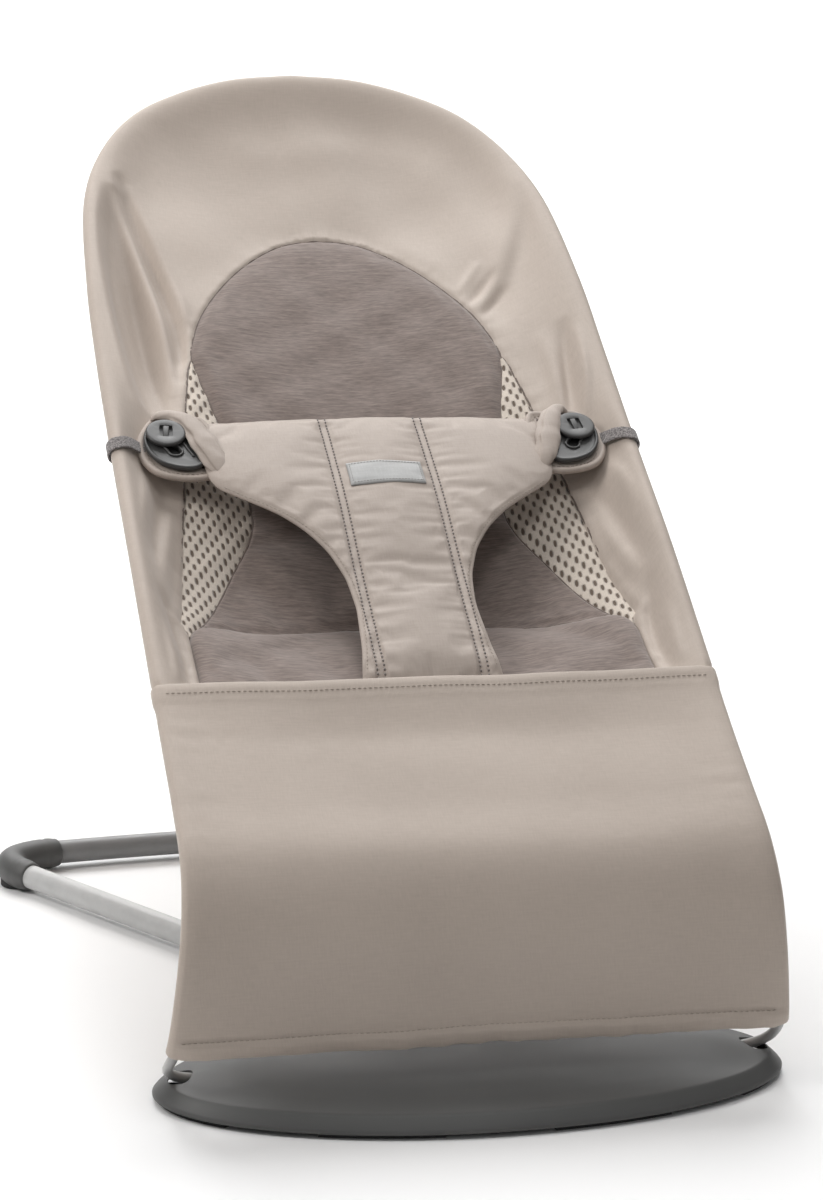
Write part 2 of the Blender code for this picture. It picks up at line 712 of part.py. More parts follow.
def keyholes_and_buttons():
    """Keyhole plates on the restraint, and the round buttons that slide in them."""
    for side, word in ((-1, "left"), (1, "right")):
        place = strap_frame(side, *KEYHOLE_CENTRE, PLATE_LIFT)
        plate = plane_outline(f"keyhole_plate_{word}", keyhole_outline(), 0.0024, place)
        release = place @ Matrix.Translation((0, -0.0140, 0))
        slot = place @ Matrix.Translation((0, 0.0015, 0))
        hole = disc(f"release_hole_{word}", 0.0046, 0.02, (0, 0, 0), (0, 0, 1), 16)
        hole.matrix_world = release
        cut(plate, as_cutter(hole))
        groove = block(f"button_groove_{word}", (-0.0030, -0.0150, -0.01), (0.0030, 0.0110, 0.01))
        groove.matrix_world = slot
        cut(plate, as_cutter(groove))
        add(plate, "plastic")
        seat = strap_frame(side, *BUTTON_CENTRE, PLATE_LIFT + 0.0012 + GAP)
        knob = disc(f"button_{word}", 0.0136, 0.0050, (0, 0, 0), (0, 0, 1), 32, 0.0012)
        knob.matrix_world = seat @ Matrix.Translation((0, 0, 0.0025))
        window = block(f"button_window_{word}", (-0.0040, -0.0060, -0.0018), (0.0040, 0.0060, 0.01))
        window.matrix_world = seat @ Matrix.Translation((0, 0, 0.0045))
        cut(knob, as_cutter(window))
        stem = block(f"button_stem_{word}", (-0.0020, -0.0030, -0.0036), (0.0020, 0.0030, 0.0045))
        stem.matrix_world = seat
        cut(knob, as_cutter(stem), "UNION")
        add(knob, "button")


def elastics():
    """Elastic webbing from a small anchor under each keyhole plate, round the hoop's side."""
    start_x, start_y = ANCHOR_X + ANCHOR_HALF + GAP, BUTTON_CENTRE[1]
    edge_x = hoop_at(STRAP_END_Y).x
    path = [
        (start_x, ANCHOR_LIFT + 0.0004),
        (start_x + 0.0085, PLATE_LIFT - 0.0026),
        (edge_x - 0.0132, PLATE_LIFT - 0.0024),
        (edge_x - 0.0098, PLATE_LIFT),
    ]
    path += [
        (edge_x + STRAP_WRAP * math.sin(math.radians(a)), STRAP_WRAP * math.cos(math.radians(a)))
        for a in range(-75, 151, 25)
    ]
    for side, word in ((-1, "left"), (1, "right")):
        rows = []
        for x, lift in path:
            share = min(1.0, (x - start_x) / (edge_x - start_x))
            frame = strap_frame(side, x, start_y + (STRAP_END_Y - start_y) * share, lift)
            rows.append([frame @ Vector((0, across, 0)) for across in (-0.005, 0.005)])
        strap = sheet(f"elastic_strap_{word}", rows, 0.0014)
        strap.modifiers["thickness"].offset = 0
        add(strap, "elastic")
        half = Vector((ANCHOR_HALF, 0.0070, 0.0015))
        anchor = block(f"strap_anchor_{word}", -half, half, 0.0008)
        anchor.matrix_world = strap_frame(side, ANCHOR_X, start_y, ANCHOR_LIFT)
        add(anchor, "plastic")


def crotch_anchor():
    """The sewn end of the restraint, held under the leg panel's band."""
    half = Vector((0.044, 0.014, 0.002))
    anchor = block("crotch_anchor", -half, half, 0.001)
    tilt = Matrix.Rotation(math.radians(28), 4, "X")
    anchor.matrix_world = Matrix.Translation((0, 0.146, 0.2065)) @ tilt
    add(anchor, "woven")


base_plate()
plate_pads()
hinge_hardware()
tube_socket()
floor_frame()
stay_brackets()
seat_hoop()
cross_wires()
racks()
support_stay()
cover_back()
inner_pad()
mesh_gussets()
leg_panel()
harness()
keyholes_and_buttons()
elastics()
crotch_anchor()
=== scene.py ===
"""Baby bouncer seat: the looks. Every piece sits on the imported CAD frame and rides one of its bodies.

The tables below measure y from the floor plate, as the CAD does; the frame's origin lies BOX_CENTRE_Y behind.
Sections: curves, meshes, materials, seat surface, sewn cover, simulation and stitches, padded panel and gussets,
restraint, tabs and buttons, hardware, hems, stage.
"""

import math

import bmesh
import bpy
import numpy as np
from mathutils import Matrix, Vector
from mathutils.bvhtree import BVHTree


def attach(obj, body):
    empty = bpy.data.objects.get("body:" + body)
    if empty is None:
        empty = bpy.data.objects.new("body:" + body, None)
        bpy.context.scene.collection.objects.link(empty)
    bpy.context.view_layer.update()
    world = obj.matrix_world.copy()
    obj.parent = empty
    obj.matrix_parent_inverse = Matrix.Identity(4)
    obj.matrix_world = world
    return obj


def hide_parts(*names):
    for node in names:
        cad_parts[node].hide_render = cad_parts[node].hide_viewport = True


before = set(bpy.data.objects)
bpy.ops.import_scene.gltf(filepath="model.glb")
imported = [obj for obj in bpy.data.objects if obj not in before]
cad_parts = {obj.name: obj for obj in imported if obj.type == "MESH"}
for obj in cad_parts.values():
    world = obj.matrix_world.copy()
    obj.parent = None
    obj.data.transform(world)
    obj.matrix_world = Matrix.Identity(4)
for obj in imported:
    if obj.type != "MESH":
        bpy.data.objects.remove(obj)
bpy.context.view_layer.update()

BOX_CENTRE_Y = 0.3516
SHIFT = np.array([0.0, -BOX_CENTRE_Y, 0.0])
WIRE_RADIUS = 0.0032
RIM_RADIUS = 0.0056  # sewn sleeve round the hoop's wire
TUBE_RADIUS = 0.0085
SLEEVE_RADIUS = 0.0112
TUBE_Z = 0.0118
SIDES = ((-1, "left"), (1, "right"))
WORLD_LOW, WORLD_HIGH = 0.12, 0.34
KEY, TOP, BANK, FILL = 13.5, 9.5, 205, 0.6  # the lights' power, W


# ---------------- tools: curves and tables
def smooth(points, per_span):
    """Points of the Catmull-Rom curve through the given ones."""
    knots = np.array(points, float)
    ends = np.vstack([2 * knots[0] - knots[1], knots, 2 * knots[-1] - knots[-2]])
    t = np.linspace(0, 1, per_span, endpoint=False)[:, None]
    found = []
    for a, b, c, d in zip(ends, ends[1:], ends[2:], ends[3:]):
        found.append(0.5 * (2 * b + (c - a) * t + (2 * a - 5 * b + 4 * c - d) * t**2 + (3 * b - a - 3 * c + d) * t**3))
    return np.vstack([*found, knots[-1:]])


def run_along(points):
    """Distance along a line at each of its points."""
    return np.concatenate([[0], np.cumsum(np.linalg.norm(np.diff(points, axis=0), axis=1))])


def at_run(points, run, at):
    """The line's rows at the given distances along it."""
    return np.stack([np.interp(at, run, column) for column in points.T], -1)


def unit(rows):
    return rows / np.linalg.norm(rows, axis=1)[:, None]


def even(points, count):
    """The same line resampled at equal steps along its length."""
    points = np.array(points, float)
    run = run_along(points)
    return at_run(points, run, np.linspace(0, run[-1], count))


def length_of(points):
    return float(np.linalg.norm(np.diff(np.array(points, float), axis=0), axis=1).sum())


def table(rows, blur=0.006):
    """A function of y from (y, value) rows, with its corners rounded."""
    ys = np.linspace(rows[0][0] - 0.05, rows[-1][0] + 0.05, 1600)
    values = np.interp(ys, [r[0] for r in rows], [r[1] for r in rows])
    step = ys[1] - ys[0]
    reach = max(1, int(3 * blur / step))
    kernel = np.exp(-0.5 * (np.arange(-reach, reach + 1) * step / blur) ** 2)
    padded = np.concatenate([np.full(reach, values[0]), values, np.full(reach, values[-1])])
    soft = np.convolve(padded, kernel / kernel.sum(), "valid")
    return lambda y: np.interp(y, ys, soft)


def ramp(x, low, high):
    """0 below low, 1 above high, smooth between."""
    t = np.clip((np.asarray(x, float) - low) / (high - low), 0, 1)
    return t * t * (3 - 2 * t)


def bell(x, middle, width):
    """1 at the middle, falling off smoothly over the width."""
    return np.exp(-(((x - middle) / width) ** 2))


def wander(x, seed, scale):
    """Smooth random values near -1 to 1 along a length, the same on every run."""
    rng = np.random.default_rng(seed)
    phases = rng.uniform(0, 2 * np.pi, 5)
    rates = rng.uniform(0.55, 1.6, 5)
    x = np.asarray(x, float) / scale * 2 * np.pi
    return sum(np.sin(x * r + p) for r, p in zip(rates, phases)) / 2.6


def ruffle(x, seed, coarse, fine, share=0.5):
    """Two scales of wander together."""
    return wander(x, seed, coarse) * share + wander(x, seed + 1, fine) * (1 - share)


def to_line(points, line):
    """(distance, share of the way along) from each 2D point to a 2D line of points."""
    points, line = np.asarray(points, float), np.asarray(line, float)
    run = run_along(line)
    best = np.full(len(points), 1e9)
    along = np.zeros(len(points))
    for k, (a, b) in enumerate(zip(line, line[1:])):
        d = b - a
        t = np.clip(((points - a) @ d) / max(d @ d, 1e-12), 0, 1)
        gap = np.linalg.norm(points - a - t[:, None] * d, axis=1)
        closer = gap < best
        best[closer] = gap[closer]
        along[closer] = (run[k] + t[closer] * (run[k + 1] - run[k])) / run[-1]
    return best, along


def mm(rows):
    """The rows in metres, from millimetres."""
    return [tuple(v / 1000 for v in row) for row in rows]


# ---------------- tools: meshes
def mesh_object(name, points, faces, uv=None, shift=True):
    """A smooth mesh object; uv gives each vertex its place on the cloth in metres."""
    mesh = bpy.data.meshes.new(name)
    points = np.asarray(points, float) + (SHIFT if shift else 0)
    mesh.from_pydata([tuple(p) for p in points], [], [tuple(int(i) for i in f) for f in faces])
    if uv is not None:
        layer = mesh.uv_layers.new(name="cloth")
        corners = np.empty(len(mesh.loops), np.int64)
        mesh.loops.foreach_get("vertex_index", corners)
        layer.data.foreach_set("uv", np.asarray(uv, float)[corners].astype(np.float32).ravel())
    mesh.update()
    mesh.shade_smooth()
    obj = bpy.data.objects.new(name, mesh)
    bpy.context.scene.collection.objects.link(obj)
    return obj


def points_of(obj):
    """The mesh's points."""
    return np.array([v.co for v in obj.data.vertices])


def grid_faces(rows, columns, wrap_rows=False, wrap_columns=False):
    """Quads of a rows by columns grid of vertices."""
    faces = []
    for i in range(rows if wrap_rows else rows - 1):
        for j in range(columns if wrap_columns else columns - 1):
            k, m = (i + 1) % rows, (j + 1) % columns
            faces.append((i * columns + j, i * columns + m, k * columns + m, k * columns + j))
    return faces


def tube_faces(rings, count):
    """Faces of a tube through rings of count points, with both ends closed."""
    ends = [tuple(range(count))[::-1], tuple(range((rings - 1) * count, rings * count))]
    return grid_faces(rings, count, False, True) + ends


def grid_object(name, points, cloth, **options):
    """A mesh object from a grid of points and a grid of their places on the cloth."""
    return mesh_object(name, points.reshape(-1, 3), grid_faces(*points.shape[:2]), cloth.reshape(-1, 2), **options)


def modifier(obj, kind, **values):
    made = obj.modifiers.new(kind.lower(), kind)
    for key, value in values.items():
        setattr(made, key, value)
    return made


def bake(obj):
    """Applies the object's modifiers to its mesh."""
    graph = bpy.context.evaluated_depsgraph_get()
    graph.update()
    mesh = bpy.data.meshes.new_from_object(obj.evaluated_get(graph), preserve_all_data_layers=True, depsgraph=graph)
    obj.modifiers.clear()
    obj.data = mesh
    return obj


def thicken(obj, thickness, offset=-1):
    """Gives a skin its thickness."""
    modifier(obj, "SOLIDIFY", thickness=thickness, offset=offset)
    return bake(obj)


def cleaned(obj, merge=0.0, recalculate=True):
    """Merges points closer than merge, and turns the faces outward."""
    shape = bmesh.new()
    shape.from_mesh(obj.data)
    if merge:
        bmesh.ops.remove_doubles(shape, verts=shape.verts, dist=merge)
    if recalculate:
        bmesh.ops.recalc_face_normals(shape, faces=shape.faces)
    shape.to_mesh(obj.data)
    shape.free()


def face_towards(obj, direction):
    """Flips the mesh when most of its area looks away from the direction."""
    facing = sum((p.normal * p.area for p in obj.data.polygons), Vector())
    if facing @ Vector(direction) < 0:
        obj.data.flip_normals()


def sweep(name, line, radius, sides=24, closed=False, taper=None):
    """A round bar along a line, with rounded ends; taper gives a radius factor per point."""
    line = np.array(line, float)
    count = len(line)
    tangent = unit(np.roll(line, -1, 0) - np.roll(line, 1, 0) if closed else np.gradient(line, axis=0))
    side = np.cross(tangent[0], [0.0, 0.0, 1.0])
    if np.linalg.norm(side) < 1e-3:
        side = np.cross(tangent[0], [0.0, 1.0, 0.0])
    sides_at = []
    for t in tangent:
        side = side - t * (side @ t)
        side /= np.linalg.norm(side)
        sides_at.append(side)
    sides_at = np.array(sides_at)
    up = np.cross(tangent, sides_at)
    angle = np.linspace(0, 2 * np.pi, sides, endpoint=False)
    factor = np.ones(count) if taper is None else np.array(taper, float)
    ring = np.cos(angle)[None, :, None] * sides_at[:, None] + np.sin(angle)[None, :, None] * up[:, None]
    points = line[:, None] + ring * (radius * factor)[:, None, None]
    if closed:
        return mesh_object(name, points.reshape(-1, 3), grid_faces(count, sides, True, True))
    caps = []
    for end, sign in ((0, -1), (-1, 1)):
        caps.append(np.array([
            line[end] + sign * tangent[end] * radius * 0.16 * out + ring[end] * radius * factor[end] * wide
            for out, wide in ((0.6, 0.93), (0.9, 0.75), (1.0, 0.35))
        ]))
    every = np.concatenate([caps[0][::-1], points, caps[1]])
    return mesh_object(name, every.reshape(-1, 3), tube_faces(len(every), sides))


BORDER = ((0, slice(None)), (-1, slice(None)), (slice(None), 0), (slice(None), -1))  # of a grid of points


def panel_solid(name, top, under, uv_top):
    """A closed pad from two grids of points that share their edge, top and under."""
    faces = grid_faces(*top.shape[:2])
    back = [tuple(top[..., 0].size + i for i in f[::-1]) for f in faces]
    points = np.vstack([top.reshape(-1, 3), under.reshape(-1, 3)])
    obj = mesh_object(name, points, faces + back, np.vstack([uv_top.reshape(-1, 2)] * 2))
    cleaned(obj, 2e-5, False)
    obj.data.shade_smooth()
    return obj


def place(obj, body, slot, look, *stands_for):
    """Gives a finished piece its material and its body, and hides the CAD nodes it stands for; the slot is not used."""
    obj.data.materials.clear()
    obj.data.materials.append(LOOKS[look])
    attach(obj, body)
    if stands_for:
        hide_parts(*stands_for)
    return obj


# ---------------- materials
class Value:
    """A shader socket; the usual signs make math nodes."""

    def __init__(self, nodes, socket):
        self.nodes, self.socket = nodes, socket

    def math(self, operation, other=0.0):
        return self.nodes.node("Math", {0: self, 1: other}, operation=operation)

    def __add__(self, other):
        return self.math("ADD", other)

    def __sub__(self, other):
        return self.math("SUBTRACT", other)

    def __mul__(self, other):
        return self.math("MULTIPLY", other)

    def __truediv__(self, other):
        return self.math("DIVIDE", other)


class Nodes:
    """Short ways to add nodes to a tree and link them."""

    def __init__(self, tree):
        self.tree = tree

    def node(self, kind, inputs, output=0, **settings):
        made = self.tree.nodes.new("ShaderNode" + kind)
        for key, value in settings.items():
            setattr(made, key, value)
        for key, value in inputs.items():
            if isinstance(value, Value):
                self.tree.links.new(value.socket, made.inputs[key])
            else:
                made.inputs[key].default_value = value
        return Value(self, made.outputs[output])

    def ranged(self, value, low, high, to_low=0.0, to_high=1.0):
        """Value mapped from low..high and clamped."""
        ends = {"From Min": low, "From Max": high, "To Min": to_low, "To Max": to_high}
        return self.node("MapRange", {"Value": value, **ends})

    def mix(self, factor, low, high):
        """A colour from low to high."""
        low, high = (c if isinstance(c, Value) else (*c, 1) for c in (low, high))
        return self.node("Mix", {0: factor, 6: low, 7: high}, 2, data_type="RGBA")

    def coordinates(self, scale=(1, 1, 1), source="Object"):
        return self.node("Mapping", {"Vector": self.node("TexCoord", {}, source), "Scale": scale})

    def noise(self, scale, detail=3.0, roughness=0.5, stretch=(1, 1, 1), source="Object"):
        place = self.coordinates(stretch, source)
        return self.node("TexNoise", {"Vector": place, "Scale": scale, "Detail": detail, "Roughness": roughness}, "Fac")

    def fibres(self, across, along, detail=3.0, roughness=0.5):
        """Noise drawn out on the cloth's own coordinates, in cells per metre."""
        return self.noise(1.0, detail, roughness, (across, along, 1), "UV")

    def cloth(self):
        """The cloth's own two coordinates, in metres."""
        split = self.node("SeparateXYZ", {0: self.coordinates(source="UV")}).socket.node
        return Value(self, split.outputs[0]), Value(self, split.outputs[1])

    def ribs(self, place, pitch):
        return (place * (2 * math.pi / pitch)).math("SINE")


class Look(Nodes):
    """A Principled material; further sockets take their constants by name."""

    def __init__(self, name, base, roughness, **sockets):
        self.material = bpy.data.materials.new(name)
        self.material.use_nodes = True
        super().__init__(self.material.node_tree)
        self.inputs = self.tree.nodes["Principled BSDF"].inputs
        self.inputs["Base Color"].default_value = (*base, 1)
        self.inputs["Roughness"].default_value = roughness
        for key, value in sockets.items():
            self.inputs[key.replace("_", " ")].default_value = value

    def link(self, socket, value):
        self.tree.links.new(value.socket, self.inputs[socket])

    def colour(self, value, low, high, dark, light):
        self.link("Base Color", self.mix(self.ranged(value, low, high), dark, light))

    def rough(self, value, low, high, to_low, to_high):
        self.link("Roughness", self.ranged(value, low, high, to_low, to_high))

    def bump(self, height, strength, distance, under=None):
        inputs = {"Height": height, "Strength": strength, "Distance": distance}
        made = self.node("Bump", inputs if under is None else {**inputs, "Normal": under})
        self.link("Normal", made)
        return made

    def threads(self, pitch, strength, distance, under):
        """Bump of a plain weave on top of another; the math node's third input stays at 0.5."""
        x, y = self.cloth()
        height = (self.ribs(x, pitch) * self.ribs(y, pitch)).math("MULTIPLY_ADD", 0.5)
        self.bump(height, strength, distance, under)


def tint(colour, factor, lift=0.0):
    return tuple(min(1, c * factor + lift) for c in colour)


def woven(name, dark, light, pitch=0.0007):
    """Satin-woven cotton: fine threads, slubs along the weft and a soft sheen."""
    look = Look(name, light, 0.62, Specular_IOR_Level=0.35, Sheen_Weight=0.22, Sheen_Roughness=0.45)
    both = look.fibres(90, 900) * 0.5 + look.fibres(1100, 120, 2.0) * 0.5
    look.colour(both * 0.55 + look.noise(9.0) * 0.45, 0.33, 0.68, dark, light)
    look.rough(both, 0.3, 0.7, 0.68, 0.54)
    under = look.bump(look.noise(26.0, 4.0, 0.55), 0.22, 0.003)
    look.threads(pitch, 0.25, 0.00012, under)
    return look.material


def jersey(name, dark, light):
    """Melange jersey: mixed fibres drawn out sideways in fine streaks."""
    look = Look(name, light, 0.86, Specular_IOR_Level=0.25, Sheen_Weight=0.35, Sheen_Roughness=0.5)
    mixed = look.fibres(130, 1000, 5.0, 0.62) * 0.55 + look.fibres(48, 430, 4.0, 0.6) * 0.45
    look.colour(mixed, 0.40, 0.61, dark, light)
    under = look.bump(look.noise(40.0, 4.0), 0.08, 0.002)
    look.threads(0.0012, 0.08, 0.0002, under)
    return look.material


def spacer_mesh(name, yarn, hole_shade):
    """Open spacer mesh: staggered rows of oval holes in a cream knit, laid out on the cloth's coordinates; the holes
    are not cut, and their dark colour is painted shade.
    """
    look = Look(name, yarn, 0.8, Specular_IOR_Level=0.3, Sheen_Weight=0.2)
    across, along, half_wide, half_tall = 0.0076, 0.0066, 0.00104, 0.0030
    u, v = look.cloth()
    row = v / along
    odd = row.math("FLOOR").math("PINGPONG", 1.0) * 0.5
    x = ((u / across + odd).math("FRACT") - 0.5) * (across / half_wide)
    y = (row.math("FRACT") - 0.5) * (along / half_tall)
    squared = x * x + y * y + look.fibres(900, 900, 2.0) * 0.35
    rib = look.fibres(1500, 500)
    tinted = look.mix(look.ranged(rib, 0.3, 0.7), tint(yarn, 0.86), yarn)
    # The holes' colour is painted shade: dark where the shade inside each hole would be.
    look.colour(squared, 0.85, 1.45, hole_shade, tinted)
    look.bump(look.ranged(squared, 0.7, 2.6) + rib * 0.12, 0.8, 0.0016)
    return look.material


def webbing(name, dark, light):
    """Elastic webbing: ribs across its width and a salt-and-pepper melange."""
    look = Look(name, light, 0.85, Specular_IOR_Level=0.25, Sheen_Weight=0.2)
    look.colour(look.noise(1.0, 3.0, 0.6, (900, 900, 900)), 0.36, 0.64, dark, light)
    look.bump(look.ribs(look.cloth()[1], 0.0013).math("MULTIPLY_ADD", 0.5), 0.5, 0.0004)
    return look.material


def plastic(name, base, roughness=0.48):
    """Moulded plastic: fine spark-eroded grain, faint flow marks, edges rubbed a little lighter."""
    look = Look(name, base, roughness, Specular_IOR_Level=0.42)
    flow = look.noise(14.0)
    shade = look.mix(look.ranged(flow, 0.3, 0.7), tint(base, 0.9), tint(base, 1.08))
    rubbed = look.ranged(look.node("NewGeometry", {}, "Pointiness"), 0.52, 0.60)
    look.link("Base Color", look.mix(rubbed * 0.35, shade, tint(base, 1.6, 0.02)))
    look.rough(flow, 0.3, 0.7, roughness - 0.05, roughness + 0.07)
    look.bump(look.noise(1400.0, 2.0), 0.22, 0.00015)
    return look.material


def paint(name, base, roughness=0.42):
    """Powder-coated steel: orange-peel surface with faint scuffs."""
    look = Look(name, base, roughness, Specular_IOR_Level=0.5, Coat_Weight=0.12, Coat_Roughness=0.3)
    scuff = look.noise(1.0, 5.0, 0.65, (60, 60, 60))
    look.colour(scuff, 0.35, 0.7, tint(base, 0.93), tint(base, 1.05))
    look.rough(scuff, 0.35, 0.75, roughness - 0.05, roughness + 0.1)
    look.bump(look.noise(900.0, 2.0), 0.25, 0.0002)
    return look.material


def rubber(name, base=(0.028, 0.028, 0.028)):
    """Dusty black rubber."""
    look = Look(name, base, 0.72, Specular_IOR_Level=0.3)
    look.colour(look.noise(160.0, 5.0, 0.7), 0.4, 0.8, base, tint(base, 1.8))
    look.bump(look.noise(1100.0, 2.0), 0.3, 0.0002)
    return look.material


def steel(name):
    """Turned steel."""
    look = Look(name, (0.55, 0.55, 0.54), 0.32, Metallic=1.0)
    turned = look.noise(1.0, 4.0, 0.5, (400, 400, 40))
    look.rough(turned, 0.3, 0.7, 0.25, 0.45)
    look.bump(turned, 0.15, 0.0001)
    return look.material


LOOKS = {
    "woven": woven("woven_cotton", (0.430, 0.363, 0.312), (0.510, 0.434, 0.375)),
    "restraint": woven("restraint_cotton", (0.375, 0.315, 0.274), (0.450, 0.382, 0.334)),
    "jersey": jersey("melange_jersey", (0.152, 0.118, 0.104), (0.268, 0.214, 0.189)),
    # The mesh's second colour is painted shade in its holes.
    "mesh": spacer_mesh("spacer_mesh", (0.680, 0.600, 0.520), (0.130, 0.095, 0.070)),
    "label": woven("label_ribbon", (0.36, 0.36, 0.355), (0.47, 0.47, 0.465), 0.0006),
    "thread": woven("grey_thread", (0.190, 0.170, 0.160), (0.290, 0.262, 0.248), 0.0004),
    # The seam cords are dark partly as thread and partly as painted shade of the seams' grooves.
    "seam": woven("seam_thread_and_shade", (0.115, 0.085, 0.070), (0.185, 0.145, 0.122), 0.0004),
    "pale_thread": woven("pale_thread", (0.34, 0.29, 0.245), (0.44, 0.38, 0.325), 0.0004),
    "elastic": webbing("elastic_webbing", (0.088, 0.079, 0.078), (0.340, 0.312, 0.305)),
    "plate": plastic("moulded_plate", (0.088, 0.088, 0.086)),
    "button": plastic("moulded_button", (0.054, 0.053, 0.052), 0.42),
    "light_paint": paint("light_powder_coat", (0.520, 0.520, 0.515)),
    "wire_paint": paint("wire_powder_coat", (0.400, 0.395, 0.390), 0.38),
    "dark_paint": paint("dark_powder_coat", (0.215, 0.215, 0.215)),
    "rubber": rubber("black_rubber"),
    "steel": steel("screw_steel"),
}


# ---------------- seat surface, as the CAD has it
HOOP_FOOT = mm([
    (0, 46, 10.5), (100, 46, 10.5), (150, 46, 10.5), (172, 46, 11), (185, 43, 14.5), (190.5, 35, 21.5),
    (190.5, 23, 31),
])
HOOP_SIDE = mm([
    (189, 13, 42), (186.5, 8, 62), (183, 6.5, 95), (180, 12.5, 127), (178, 34, 154), (177.5, 73, 175.5),
    (177.8, 121, 200), (178.5, 180, 232.5), (179.5, 276, 285), (180, 374, 334.5), (180, 464, 383.5),
    (178.5, 534, 424.5), (171.5, 618, 471), (154.5, 672, 500.5), (127, 710, 523.5), (91, 732, 538),
    (48, 743, 548), (0, 746, 551.5),
])
SAG = table(mm([
    (100, 0), (165, 18), (200, 34), (240, 48), (275, 60), (310, 57), (370, 46), (450, 34), (530, 30),
    (620, 26), (700, 16),
]), 0.009)
GUSSET_HALF = table(mm([
    (225, 159), (262, 152.5), (296, 147), (334, 141), (368, 135), (430, 126.5), (492, 114.5),
]), 0.006)
BAND_Y = 0.1630  # top edge of the front panel
HEAD_Y = 0.600  # the head's half-disc starts here
PINCH_Y = 0.378  # the straps pull the cover tight here
CLOTH = 0.0011  # thickness of the cover's cloth

HOOP_LINE = smooth(HOOP_FOOT + HOOP_SIDE, 24)
UPPER = HOOP_LINE[(HOOP_LINE[:, 2] > 0.156) & (np.gradient(HOOP_LINE[:, 1]) > 0)]


def hoop_x(y):
    return np.interp(y, UPPER[:, 1], UPPER[:, 0])


def hoop_z(y):
    return np.interp(y, UPPER[:, 1], UPPER[:, 2])


def up_normal(y):
    """Unit vectors square to the hoop's plane at y, towards the sitter."""
    y = np.asarray(y, float)
    dy = np.full_like(y, 0.02)
    dz = hoop_z(np.minimum(y + 0.01, 0.742)) - hoop_z(np.minimum(y + 0.01, 0.742) - 0.02)
    return np.stack([0 * y, -dz, dy], -1) / np.hypot(dy, dz)[..., None]


def sag_power(y):
    return 0.45 + 0.40 * np.clip((np.asarray(y) - 0.30) / 0.15, 0, 1)


def seat_point(x, y):
    """Point of the seat's top surface, between the hoop's sides."""
    x, y = np.broadcast_arrays(np.asarray(x, float), np.asarray(y, float))
    u = np.clip(np.abs(x) / (hoop_x(y) - WIRE_RADIUS), 0, 1)
    drop = SAG(y) * np.maximum(0, 1 - u * u) ** sag_power(y)
    return np.stack([x, y, hoop_z(y) - drop], -1)


# Outline of what is let into the cover: the padded panel with its arched top, and the gussets beside it.
ARCH_TOP = mm([
    (114, 487), (109.2, 510), (99, 535), (80.6, 564), (59, 589), (35, 607.5), (16, 614.5), (0, 616.2),
])
INSET_HALF = [(0.1515, 0.160), (0.1510, 0.236)] + [(float(GUSSET_HALF(y)), y) for y in np.linspace(0.245, 0.480, 14)]
INSET_RIGHT = even(smooth(INSET_HALF + ARCH_TOP, 8), 220)


def inset_depth(x, y):
    """Distance inside the inset's outline, negative outside, and the share of the way along it."""
    flat = np.stack([np.abs(x).ravel(), np.asarray(y).ravel()], 1)
    gap, along = to_line(flat, INSET_RIGHT)
    widest = np.interp(flat[:, 1], INSET_RIGHT[:, 1], INSET_RIGHT[:, 0], right=-1)
    inside = flat[:, 0] < widest
    return (np.where(inside, gap, -gap)).reshape(np.shape(x)), along.reshape(np.shape(x))


# Soft folds of the cover: points on the seat (x, y in mm), half-width in mm, and half the height in mm.
FOLDS = [
    ([(-150, 655), (-145, 640), (-131, 579), (-122, 523), (-120, 455)], 8.5, -5.4),
    ([(-158, 640), (-152, 570), (-147, 500), (-146, 430)], 14.0, -8.0),
    ([(-140, 650), (-127, 590), (-115, 530), (-113, 480)], 5.5, 2.4),
    ([(-156, 660), (-148, 620), (-138, 560), (-131, 505), (-130, 450)], 6.0, 3.4),
    ([(-168, 620), (-165, 540), (-156, 470), (-146, 412)], 7.0, -4.6),
    ([(-171, 560), (-172, 500), (-166, 450), (-152, 405)], 6.0, 1.8),
    ([(-152, 560), (-148, 500), (-141, 440), (-138, 410)], 5.0, -1.7),
    ([(88, 509), (129, 562), (150, 612), (158, 655)], 12.0, 1.5),
    ([(110, 515), (138, 560), (156, 600), (162, 640)], 9.0, -1.5),
    ([(97, 536), (112, 552), (127, 568)], 3.2, -1.6),
    ([(103, 522), (118, 537), (133, 552)], 3.2, -1.4),
    ([(92, 548), (104, 562), (118, 580)], 3.5, 1.0),
    ([(162, 500), (159, 470), (155, 440), (151, 412)], 5.0, -2.6),
    ([(171, 490), (167, 450), (158, 408)], 4.5, 1.8),
    ([(145, 500), (147, 460), (146, 415)], 6.0, 1.5),
    ([(-150, 372), (-156, 345), (-163, 316), (-168, 280)], 5.0, -2.2),
    ([(-163, 370), (-166, 340), (-171, 300)], 4.0, 1.8),
    ([(-147, 350), (-152, 320), (-160, 285), (-165, 250)], 5.5, 2.0),
    ([(150, 370), (158, 340), (165, 300), (168, 270)], 5.0, -2.2),
    ([(163, 372), (169, 345), (172, 315)], 4.0, 1.8),
    ([(147, 335), (155, 300), (162, 268)], 5.0, 1.6),
    ([(-166, 262), (-161, 232), (-156, 205), (-158, 172)], 4.5, -2.4),
    ([(-170, 225), (-166, 200), (-166, 172)], 4.0, 1.6),
    ([(166, 262), (160, 232), (156, 205), (158, 172)], 4.5, -2.4),
    ([(170, 228), (167, 200), (166, 174)], 4.0, 1.6),
    ([(-60, 700), (-20, 690), (40, 694), (90, 684)], 16.0, 1.2),
]


def fold_height(x, y):
    """Sum of the folds at each place, in metres."""
    flat = np.stack([np.ravel(x), np.ravel(y)], 1)
    total = np.zeros(len(flat))
    for line, width, height in FOLDS:
        path = smooth(np.array(line) / 1000, 6)
        gap, along = to_line(flat, path)
        fade = np.clip(np.sin(np.pi * np.clip(along, 0.0, 1.0)), 0, 1) ** 0.7
        total += 2.0 * height / 1000 * fade * np.exp(-((gap / (width / 1000)) ** 2))
    return total.reshape(np.shape(x))


